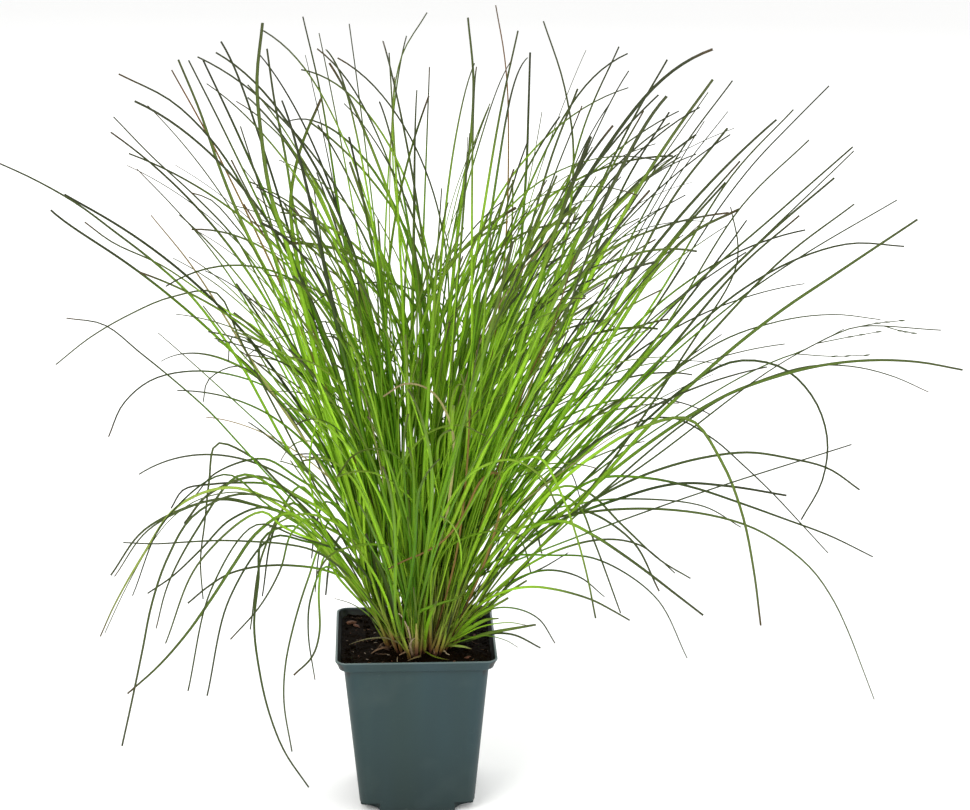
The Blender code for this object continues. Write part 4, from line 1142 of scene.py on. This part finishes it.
RINGS = 52
PATHS = lay_out()
TABLE = LEAVES + TUFTS
TILLERS = []  # where a sheath stands: base point, direction, size


def unit(v):
    return v / max(np.linalg.norm(v), 1e-9)


def settle(path, low=5.0):
    """Keeps a path above the ground and within the clump's depth."""
    path[:, 2] = np.maximum(path[:, 2], low)
    y = path[:, 1]
    far = np.abs(y) > 120
    path[far, 1] = np.sign(y[far]) * (120 + 72 * np.tanh((np.abs(y[far]) - 120) / 72))
    return path


def clear_rim(path):
    """Lifts what would cross the pot's rim or wall to just above it."""
    x, y, z = path[:, 0], path[:, 1], path[:, 2]
    side = np.maximum(np.abs(x), np.abs(y))
    over = (side > 39) & (side < 48.5) & (z < 96.6) & (np.arange(len(path)) < len(path) * 0.5)
    path[over, 2] = 96.6
    inside = (side <= 39) & (z < 94.0) & (np.arange(len(path)) > 3)
    path[inside, 2] = 94.0
    return path


def on_crown(x, y, share=0.93):
    q = math.hypot((x - CROWN_X) / (CROWN_RX * share), (y - CROWN_Y) / (CROWN_RY * share))
    if q > 1:
        x, y = CROWN_X + (x - CROWN_X) / q, CROWN_Y + (y - CROWN_Y) / q
    return x, y


def twist(kind=1.0):
    """A slow turn of the blade about itself, from foot to tip."""
    a = RNG.uniform(-1.1, 1.1) * kind
    return np.linspace(a, a + RNG.normal(0, 0.8) * kind, RINGS)


def looks(young=0.5):
    """How one blade looks: random key, tone from deep to light, dryness and scorched tip."""
    rnd = float(RNG.random())
    tone = float(np.clip(RNG.beta(1.15, 1.25) + (young - 0.5) * 0.5, 0, 1))
    dry = 0.0
    if RNG.random() < 0.022:
        dry = float(RNG.uniform(0.35, 0.9))
    burn = float(RNG.random() < 0.25)
    return rnd, tone, dry, burn


# ---- the single leaves -----------------------------------------------------------------------
for i, row in enumerate(LEAVES):
    path = smooth_path(PATHS[i], RINGS)
    path[0] = path[0] - unit(path[1] - path[0]) * 1.2
    rnd, tone, dry, burn = looks(0.5)
    bag = Bag()
    wide = 0.90 * row[0]
    if row[0] > 2.2:
        tone = max(tone, 0.55)
    blade(
        bag, path, wide, facing(path) + twist(0.38), RNG.uniform(0.3, 0.6) if row[0] < 2 else RNG.uniform(0.2, 0.4), 0, 1,
        rnd, tone, 0.0, tip=0.6 if row[0] > 2.2 else RNG.uniform(0.5, 0.85), burn=burn, base=0.5, swell=0.40,
        fresh=0.76 if row[0] > 2.2 else 0.95 if row[0] > 1.7 else 1.0,
    )
    bag.make(f"blade_{i + 1:02d}", LEAF, [f"leaf_{i + 1:02d}"])
    TILLERS.append((path[0], unit(path[4] - path[0]), wide, RNG.uniform(10, 30)))

# ---- the locks -------------------------------------------------------------------------------
def arch(base, stem, sheath, length, phi, lean, bend, power, swerve, n=RINGS):
    """A blade that leaves its tiller's sheath and then bends over under its own weight: the lean grows along it."""
    s = np.linspace(0, 1, n)
    theta = lean - bend / (power + 1) + bend * s**power
    around = phi + swerve * (s**1.5 - 0.4)
    own = np.stack([np.sin(theta) * np.cos(around), np.sin(theta) * np.sin(around), np.cos(theta)], 1)
    free_at = np.clip((s * length - 0.7 * sheath) / (1.1 * sheath + 12), 0, 1)
    free_at = (free_at * free_at * (3 - 2 * free_at))[:, None]
    heading = (1 - free_at) * stem[None] + free_at * own
    heading /= np.linalg.norm(heading, axis=1)[:, None]
    step = length / (n - 1)
    return base[None] + np.vstack([np.zeros(3), np.cumsum(0.5 * (heading[1:] + heading[:-1]) * step, axis=0)])


def kept_in(path):
    """Draws a path in where it would leave the clump's outline."""
    for k, low, high in ((0, -219, 310), (2, -1, 453)):
        v = path[:, k]
        top = high - 60
        path[:, k] = np.where(v > top, top + 59 * np.tanh((v - top) / 59), v)
        if k == 0:
            base = low + 50
            v = path[:, k]
            path[:, k] = np.where(v < base, base - 49 * np.tanh((base - v) / 49), v)
    return path


# For each lock: tillers, blades on each, how widely they fan (degrees), how far they bend over (degrees).
LOCK_LOOK = [
    (8, 8, 8.0, 58), (6, 7, 8.5, 56), (3, 6, 11.0, 54), (3, 4, 12.0, 54), (2, 4, 12.0, 54), (2, 4, 12.0, 54),
    (2, 4, 12.0, 54), (2, 5, 11.0, 54), (5, 7, 8.0, 52), (4, 7, 9.0, 60), (9, 8, 8.0, 60), (7, 7, 9.0, 62),
    (6, 6, 9.0, 58), (3, 4, 10.0, 50), (2, 4, 10.0, 46), (3, 4, 10.0, 54), (3, 4, 10.0, 54),
]
DEG = math.pi / 180
for i, row in enumerate(TUFTS):
    axis = smooth_path(PATHS[len(LEAVES) + i], 40)
    foot = axis[0]
    chord = axis[-1] - foot
    run = float(np.linalg.norm(chord))
    lean_c = math.acos(chord[2] / run) + (1.5 * math.pi / 180 if i in (1, 10) else 0)
    phi_c = math.atan2(chord[1], chord[0])
    bag = Bag()
    tillers, each, fan_deg, bend_deg = LOCK_LOOK[i]
    count = tillers * each
    loose = 0.35 + 1.1 * math.exp(-lean_c / (17 * DEG))
    j = 0
    for g in range(tillers):
        a = 2 * math.pi * (g + 0.6 * RNG.random()) / tillers
        d = RNG.uniform(2.0, 9.0)
        x, y = on_crown(foot[0] + d * math.cos(a), foot[1] + d * math.sin(a), 0.97)
        start = np.array([x, y, dome_z(x, y) - 0.3])
        out_x, out_y = (x - CROWN_X) / CROWN_RX, (y - CROWN_Y) / CROWN_RY
        stem = unit(np.array([
            0.35 * chord[0] / run + 0.32 * out_x + RNG.normal(0, 0.11),
            0.35 * chord[1] / run + 0.28 * out_y + RNG.normal(0, 0.11),
            1.0,
        ]))
        sheath = RNG.uniform(10, 34)
        for k in range(each):
            size = RNG.uniform(0.55, 0.95) if k % 2 else RNG.uniform(0.80, 1.22)
            size *= 0.86 if i in (2, 3, 4, 5, 6, 7, 8) else 1.0
            phi = phi_c + RNG.normal(0, loose * 0.55)
            if RNG.random() < 0.10:
                phi += math.pi * RNG.uniform(0.6, 1.4)
            lean = abs(lean_c + RNG.normal(0, fan_deg) * DEG)
            bend = RNG.normal(bend_deg, 0.55 * bend_deg) * DEG
            if RNG.random() < 0.15:
                bend += RNG.uniform(30, 75) * DEG
                size *= 0.86
            bend *= 1 - 0.45 * max(0.0, -math.sin(phi))
            power = RNG.uniform(1.1, 2.6)
            base = start + np.append(RNG.normal(0, 0.35, 2), 0.0)
            path = arch(base, stem, sheath * RNG.uniform(0.5, 1.7), run * size * 1.03, phi, lean, bend, power, RNG.normal(0, 0.30))
            side = np.array([-math.sin(phi), math.cos(phi), 0.0])
            s = np.linspace(0, 1, RINGS)
            path += side[None] * (RNG.normal(0, 2.2) * np.sin(math.pi * s * RNG.uniform(1.0, 2.4)) * s)[:, None]
            path = clear_rim(kept_in(settle(path)))
            rnd, tone, dry, burn = looks(0.5)
            wide = float(np.clip(RNG.normal(1.78, 0.50), 0.95, 2.5)) * (0.6 if dry > 0 else 1.0)
            blade(
                bag, path, wide, twist(), RNG.uniform(0.3, 1.0), j, count, rnd, tone, dry,
                tip=RNG.uniform(0.32, 0.85), burn=burn, base=0.42, swell=0.30,
            )
            j += 1
        TILLERS.append((start, stem, 2.3, 1.25 * sheath))
    bag.make(f"lock_{i + 1:02d}", LEAF, [f"tuft_{i + 1:02d}"])

# ---- the other free blades, by side -------------------------------------------------------------


def place_free(width, depth, elevation):
    x0 = np.clip(elevation[0][0] * 0.22, -17, 19) + RNG.normal(0, 2.0)
    y0 = np.clip(depth * 0.12, -14, 12) + RNG.normal(0, 2.5)
    bx, by = on_crown(x0 + CROWN_X * 0.5, y0 + CROWN_Y)
    front = np.array([(bx, dome_z(bx, by) - 0.2)] + elevation, float)
    run = np.concatenate([[0], np.cumsum(np.hypot(*np.diff(front, axis=0).T))])
    y = by + (depth - by) * (run / run[-1]) ** DEPTH_POWER
    return clear_rim(settle(smooth_path([(x, d, z) for (x, z), d in zip(front, y)], RINGS)))


free = {"free_blades_left": [], "free_blades_middle": [], "free_blades_right": []}
for width, depth, elevation in MORE:
    end = elevation[-1][0]
    key = "free_blades_left" if end < -30 else "free_blades_right" if end > 90 else "free_blades_middle"
    free[key].append((width, place_free(width, depth, elevation)))
for x, z, depth in TIPS:
    key = "free_blades_left" if x < -30 else "free_blades_right" if x > 90 else "free_blades_middle"
    bow = RNG.uniform(0.40, 0.50)
    elevation = [(x * bow * 0.52, 90 + (z - 90) * 0.30), (x * bow * 1.25, 90 + (z - 90) * 0.62), (x * 0.84, 90 + (z - 90) * 0.88), (x, z)]
    free[key].append((RNG.uniform(1.1, 2.1), place_free(1.2, depth, elevation)))
# thin blades that rise a little way, arch over and hang: side, how many, crest (x, z), tip (x, z), depth
for count, cx, cz, tx, tz, depth in [
    (2, -98, 178, -150, 112, -30), (2, -112, 186, -172, 140, 20), (2, -76, 176, -112, 96, -70), (2, -84, 182, -128, 150, 50),
    (2, -66, 162, -92, 80, 60), (2, 92, 170, 140, 118, -20), (1, 120, 178, 190, 150, 40), (2, 74, 168, 104, 118, 90),
    (3, -40, 150, -52, 92, 110), (3, 46, 150, 70, 96, 120),
]:
    for k in range(count):
        dx, dz, dy = RNG.normal(0, 8), RNG.normal(0, 9), RNG.normal(0, 22)
        pts = [(0.46 * cx, 0.62 * cz + 44), (0.80 * cx + 0.4 * dx, 0.96 * cz + 0.5 * dz), (cx + dx, cz + dz)]
        pts += [(0.35 * cx + 0.65 * tx + dx, 0.62 * cz + 0.38 * tz + dz), (tx + dx, tz + dz)]
        key = "free_blades_left" if cx < 0 else "free_blades_right"
        free[key].append((RNG.uniform(1.1, 1.7), place_free(1.2, depth + dy, pts)))
# an old blade on the left that has turned yellow
free["free_blades_left"].append((1.6, place_free(1.2, -44, [(-47, 150), (-74, 181), (-101, 193), (-129, 184), (-149, 157), (-165, 130), (-173, 113)]), True))
# blades that lie across the front of the clump
ACROSS_FRONT = [
    (1.9, 0.60, [(9, -28, 120), (1, -40, 145), (-13, -52, 164), (-29, -62, 170), (-46, -70, 167), (-53, -76, 159)]),
    (1.7, 0.50, [(-9, -26, 125), (-19, -45, 167), (-34, -66, 209), (-48, -82, 225), (-59, -92, 227)]),
    (1.5, 0.25, [(2, -28, 126), (13, -44, 157), (29, -56, 172), (49, -66, 178), (62, -72, 174)]),
    (1.6, 0.70, [(5, -30, 126), (4, -60, 183), (-7, -86, 224), (-20, -100, 236), (-33, -112, 236), (-41, -118, 227)]),
    (1.6, 0.40, [(0, -30, 126), (13, -58, 182), (31, -84, 218), (50, -98, 228), (64, -108, 222), (72, -112, 208)]),
    (1.4, 0.30, [(-6, -28, 126), (-13, -46, 173), (-8, -62, 212), (7, -76, 237), (24, -84, 243), (36, -90, 239)]),
    (1.5, 0.80, [(8, -28, 131), (18, -56, 193), (19, -78, 239), (8, -92, 264), (-6, -102, 271), (-17, -108, 266)]),
    (1.5, 0.55, [(-10, -20, 123), (-30, -26, 158), (-47, -30, 174), (-63, -32, 178), (-80, -30, 170)]),
]
for width, tone, pts in ACROSS_FRONT:
    bx, by = on_crown(CROWN_X + 0.5 * pts[0][0], CROWN_Y - 12)
    free["free_blades_middle"].append((width, clear_rim(settle(smooth_path([(bx, by, dome_z(bx, by) - 0.2)] + pts, RINGS)))))
# an old blade that has dried to a reddish brown and hangs across the front, and a thin one that stands
DRIED = [
    (1.6, [(18, -16, 94), (38, -34, 150), (46, -50, 190), (43, -58, 209), (35, -61, 205), (26, -62, 187), (16, -62, 173), (4, -62, 165), (-3.4, -62, 162), (-11, -61, 158), (-17, -60, 154)]),
    (1.2, [(9, -20, 95), (22, -48, 160), (27, -62, 210), (29.5, -70, 260), (34, -76, 290)]),
    (1.0, [(14, -18, 95), (40, -40, 190), (62, -52, 262), (79, -60, 300)]),
]
for width, pts in DRIED:
    free["free_blades_middle"].append((width, clear_rim(settle(smooth_path(pts, RINGS))), False))
free["free_blades_middle"].append((1.7, clear_rim(settle(smooth_path([(4, -24, 95), (-1, -36, 112), (2.1, -40, 123), (8.8, -41, 126.5), (16.4, -42, 129.5), (22.4, -44, 132), (26.3, -44, 136), (28.5, -44, 140)], RINGS)))))
# short young blades and low ones round the foot
for k in range(20):
    a = RNG.uniform(0, 2 * math.pi)
    reach = RNG.uniform(14, 62)
    rise = RNG.uniform(28, 120)
    x, y = on_crown(CROWN_X + 18 * math.cos(a), CROWN_Y + 16 * math.sin(a), 0.9)
    low = k % 4 == 0 and abs(math.sin(a)) < 0.8 and math.cos(a) > -0.2
    if math.cos(a) < -0.2:
        rise = max(rise, 80.0)
    pts = [(x, y, dome_z(x, y) - 0.2)]
    pts.append((x + reach * 0.35 * math.cos(a), y + reach * 0.35 * math.sin(a), 92 + rise * 0.5))
    pts.append((x + reach * math.cos(a), y + reach * math.sin(a), 92 + rise * (0.72 if low else 1.0)))
    key = "free_blades_left" if x < -8 else "free_blades_right" if x > 12 else "free_blades_middle"
    free[key].append((RNG.uniform(1.2, 2.3), clear_rim(smooth_path(pts, RINGS))))
for key, rows in free.items():
    bag = Bag()
    for j, (width, path, *yellow) in enumerate(rows):
        rnd, tone, dry, burn = looks(0.55)
        if yellow:
            rnd, tone, dry, burn = (0.4, 1.0, 0.22, 1.0) if yellow[0] else (0.5, 0.3, 0.85, 1.0)
        blade(
            bag, path, 1.1 * width, facing(path) + twist(0.6), RNG.uniform(0.3, 0.7), j, len(rows),
            rnd, tone, dry, tip=RNG.uniform(0.45, 0.85), burn=burn, base=0.5, swell=0.3,
            fresh=0.35 if yellow else 0.95,
        )
        TILLERS.append((path[0], unit(path[4] - path[0]), width, RNG.uniform(9, 26)))
    bag.make(key, LEAF)

# ---- low leaves lying over the peat in front, as the plant has --------------------------------
bag = Bag()
LOW = [
    # width, tone, points (x, y, z)
    (1.6, 0.45, [(0, -25, 95.5), (-6.7, -26, 98), (-13.4, -24, 100.7), (-17.8, -22, 101.2), (-26.8, -20, 100), (-32.9, -20, 98.4), (-37.4, -20, 96.8)]),
    (1.3, 0.30, [(4, -25, 95), (8, -32, 94.8), (12, -36, 94.6), (18, -38, 93.8)]),
    (1.1, 0.25, [(2, -25, 95), (2, -33, 94.4), (-1, -36, 94.6), (-5, -38, 93.6)]),
    (1.6, 0.35, [(16, -20, 95), (22, -25, 97), (27, -28, 97.4), (31, -29, 96.6)]),
    (2.5, 0.65, [(14, -19, 94), (21, -19, 99), (31, -15, 104), (40, -11, 107), (47, -9, 107)]),
    (2.1, 0.50, [(15, -18, 94), (24, -17, 101), (33, -13, 108), (43, -10, 112)]),
    (1.5, 0.90, [(16, -16, 94), (23, -15, 103), (30, -12, 111), (34, -10, 113)]),
    (2.3, 0.80, [(13, -20, 94), (24, -20, 100), (37, -18, 105.5), (52, -16, 107), (62, -15, 105)]),
    (1.3, 0.30, [(14, -21, 94), (25, -23, 99), (38, -24, 102.5), (50, -25, 100), (57, -26, 96)]),
    (1.6, 0.65, [(-16, 0, 94), (-26, 14, 101), (-36, 26, 104), (-46, 33, 105)]),
    (1.2, 0.5, [(20, 2, 94), (30, 16, 100), (37, 22, 102), (43, 25, 100.5)]),
    (1.8, 0.7, [(-4, 11, 94), (-12, 30, 99), (-20, 41, 101.5), (-27, 52, 99)]),
]
for j, (width, tone, pts) in enumerate(LOW):
    path = smooth_path(pts, RINGS)
    blade(bag, path, width, twist(0.5), 0.4, j, len(LOW), float(RNG.random()), tone, 0.3 if j in (0, 1, 2, 3) else 0.0, tip=0.3, burn=1.0)
bag.make("low_leaves", LEAF)

# ---- the crown: sheaths, dead leaf bits and the fibrous mound -----------------------------------
bag = Bag()
for k, (at, way, wide, length) in enumerate(TILLERS):
    r0 = 0.42 + 0.22 * wide
    path = np.array([at + way * (length * s - 1.5) for s in np.linspace(0, 1, 12)])
    path += np.outer(np.sin(np.linspace(0, 1, 12) * math.pi), RNG.normal(0, 0.3, 3))
    path[0] -= way * 1.0
    radius = r0 * np.interp(np.linspace(0, 1, 12), [0, 0.12, 0.6, 1], [1.10, 1.18, 0.92, 0.55])
    tube(bag, path, radius, 8, k, len(TILLERS), squash=0.72, ribs=0.05, rnd=float(RNG.random()))
bag.make("tiller_sheaths", SHEATH)

bag = Bag()
n, m = 22, 60
verts, faces, uvs, tt = [], [], [], []
for i in range(n):
    q = 1 - i / (n - 1) * 0.97
    for j in range(m):
        a = 2 * math.pi * j / m
        x, y = CROWN_X + q * CROWN_RX * 1.03 * math.cos(a), CROWN_Y + q * CROWN_RY * 1.03 * math.sin(a)
        rough = 1.1 * noise.noise(Vector((x * 0.5, y * 0.5, 2))) + 0.6 * abs(noise.noise(Vector((x * 1.4, y * 1.4, 5))))
        edge = min(1.0, (1 - q) * 5)
        verts.append((x, y, dome_z(x, y) - 0.8 + rough * edge - 1.2 * (1 - edge)))
        tt.append(0.1 + 0.5 * abs(rough))
for i in range(n - 1):
    for j in range(m):
        jj = (j + 1) % m
        faces.append((i * m + j, i * m + jj, (i + 1) * m + jj, (i + 1) * m + j))
        u0, u1, v0, v1 = j / m, (j + 1) / m, i / n, (i + 1) / n
        uvs.append(((u0, v0), (u1, v0), (u1, v1), (u0, v1)))
faces.append(tuple((n - 1) * m + j for j in range(m)))
uvs.append(tuple((0.5 + 0.01 * math.cos(6.283 * j / m), 0.985 + 0.01 * math.sin(6.283 * j / m)) for j in range(m)))
faces.append(tuple(range(m - 1, -1, -1)))
uvs.append(tuple((0.2 + 0.01 * math.cos(6.283 * j / m), 0.985 + 0.01 * math.sin(6.283 * j / m)) for j in range(m - 1, -1, -1)))
bag.add(verts, faces, uvs, t=tt, rnd=0.8)
bag.make("crown_mound", PEAT, ["crown"])

bag = Bag()
DEAD = 20
for k in range(DEAD):
    a = RNG.uniform(0, 2 * math.pi)
    q = RNG.uniform(0.25, 1.0)
    x, y = CROWN_X + q * CROWN_RX * 0.9 * math.cos(a), CROWN_Y + q * CROWN_RY * 0.9 * math.sin(a)
    length = RNG.uniform(5, 24)
    lift = RNG.uniform(0.2, 1.1)
    head = a + RNG.normal(0, 0.6)
    curl = RNG.normal(0, 0.9)
    pts, p, up = [], np.array([x, y, dome_z(x, y) - 0.4]), lift
    for s in np.linspace(0, 1, 14):
        pts.append(p.copy())
        up -= RNG.uniform(0.02, 0.16)
        head += curl / 14
        p = p + np.array([math.cos(head) * math.cos(up), math.sin(head) * math.cos(up), math.sin(up)]) * length / 13
        p[2] = max(p[2], peat_top(p[0], p[1]) + 0.5)
        p[0], p[1] = np.clip(p[0], -36, 36), np.clip(p[1], -36, 36)
    path = smooth_path(np.array(pts), 14)
    tube(bag, path, RNG.uniform(0.35, 1.0) * np.interp(np.linspace(0, 1, 14), [0, 0.4, 1], [0.9, 1, 0.25]), 6, k, DEAD, squash=0.35, rnd=float(0.35 + 0.65 * RNG.random()))
# the curled pale dead leaf in front
curl = [(-2, -29, 93), (-2.9, -31, 98), (-3.4, -33, 101.5), (-2.3, -34, 104.2), (-0.6, -34.5, 105.6), (0.6, -34.5, 105), (0.6, -34, 102.4)]
tube(bag, smooth_path(curl, 24), 0.95 * np.linspace(1, 0.45, 24), 6, 0, DEAD, squash=0.35, rnd=0.2)
curl = [(-1.5, -27, 95), (-3.3, -33, 105.7), (-4.4, -35, 111.4), (-6.6, -37, 117), (-8.8, -38, 121.2), (-10.6, -38, 121.6)]
tube(bag, smooth_path(curl, 24), 1.0 * np.linspace(1, 0.4, 24), 6, 1, DEAD, squash=0.5, rnd=0.3)
bag.make("dead_straw", STRAW)

# ---- the thin seed stalk on the right -----------------------------------------------------------
bag = Bag()
main_stalk = place_free(0.9, 30, STALK)
DULL = dict(rnd=0.3, tone=0.35, dry=0.0, burn=0.0, under=0.0, across=0.3)
tube(bag, main_stalk, np.linspace(0.62, 0.34, RINGS), 6, 0, 12, dull=np.repeat(np.linspace(0, 1, RINGS) ** 0.5, 6), **DULL)
for k, (at, lift, length) in enumerate([(0.76, -7, 42), (0.80, 3, 36), (0.86, 6, 30), (0.92, -3, 18)]):
    p = main_stalk[int(at * (RINGS - 1))]
    way = unit(main_stalk[-1] - p)
    pts = [p, p + way * length * 0.5 + np.array([0, RNG.normal(0, 1.5), lift * 0.6]), p + way * length + np.array([0, RNG.normal(0, 3), lift])]
    twig = smooth_path(pts, 12)
    tube(bag, twig, np.linspace(0.34, 0.26, 12), 5, 1 + k, 12, dull=1.0, **DULL)
    for s in (0.55, 0.78, 1.0):
        c = twig[int(s * 11)]
        seed_path = np.array([c + way * d for d in np.linspace(-1.7, 1.9, 6)])
        tube(bag, seed_path, 0.50 * np.array([0.6, 0.9, 1, 0.9, 0.7, 0.4]), 6, 7 + k % 5, 12, dull=1.0, **DULL)
bag.make("seed_stalk", LEAF)
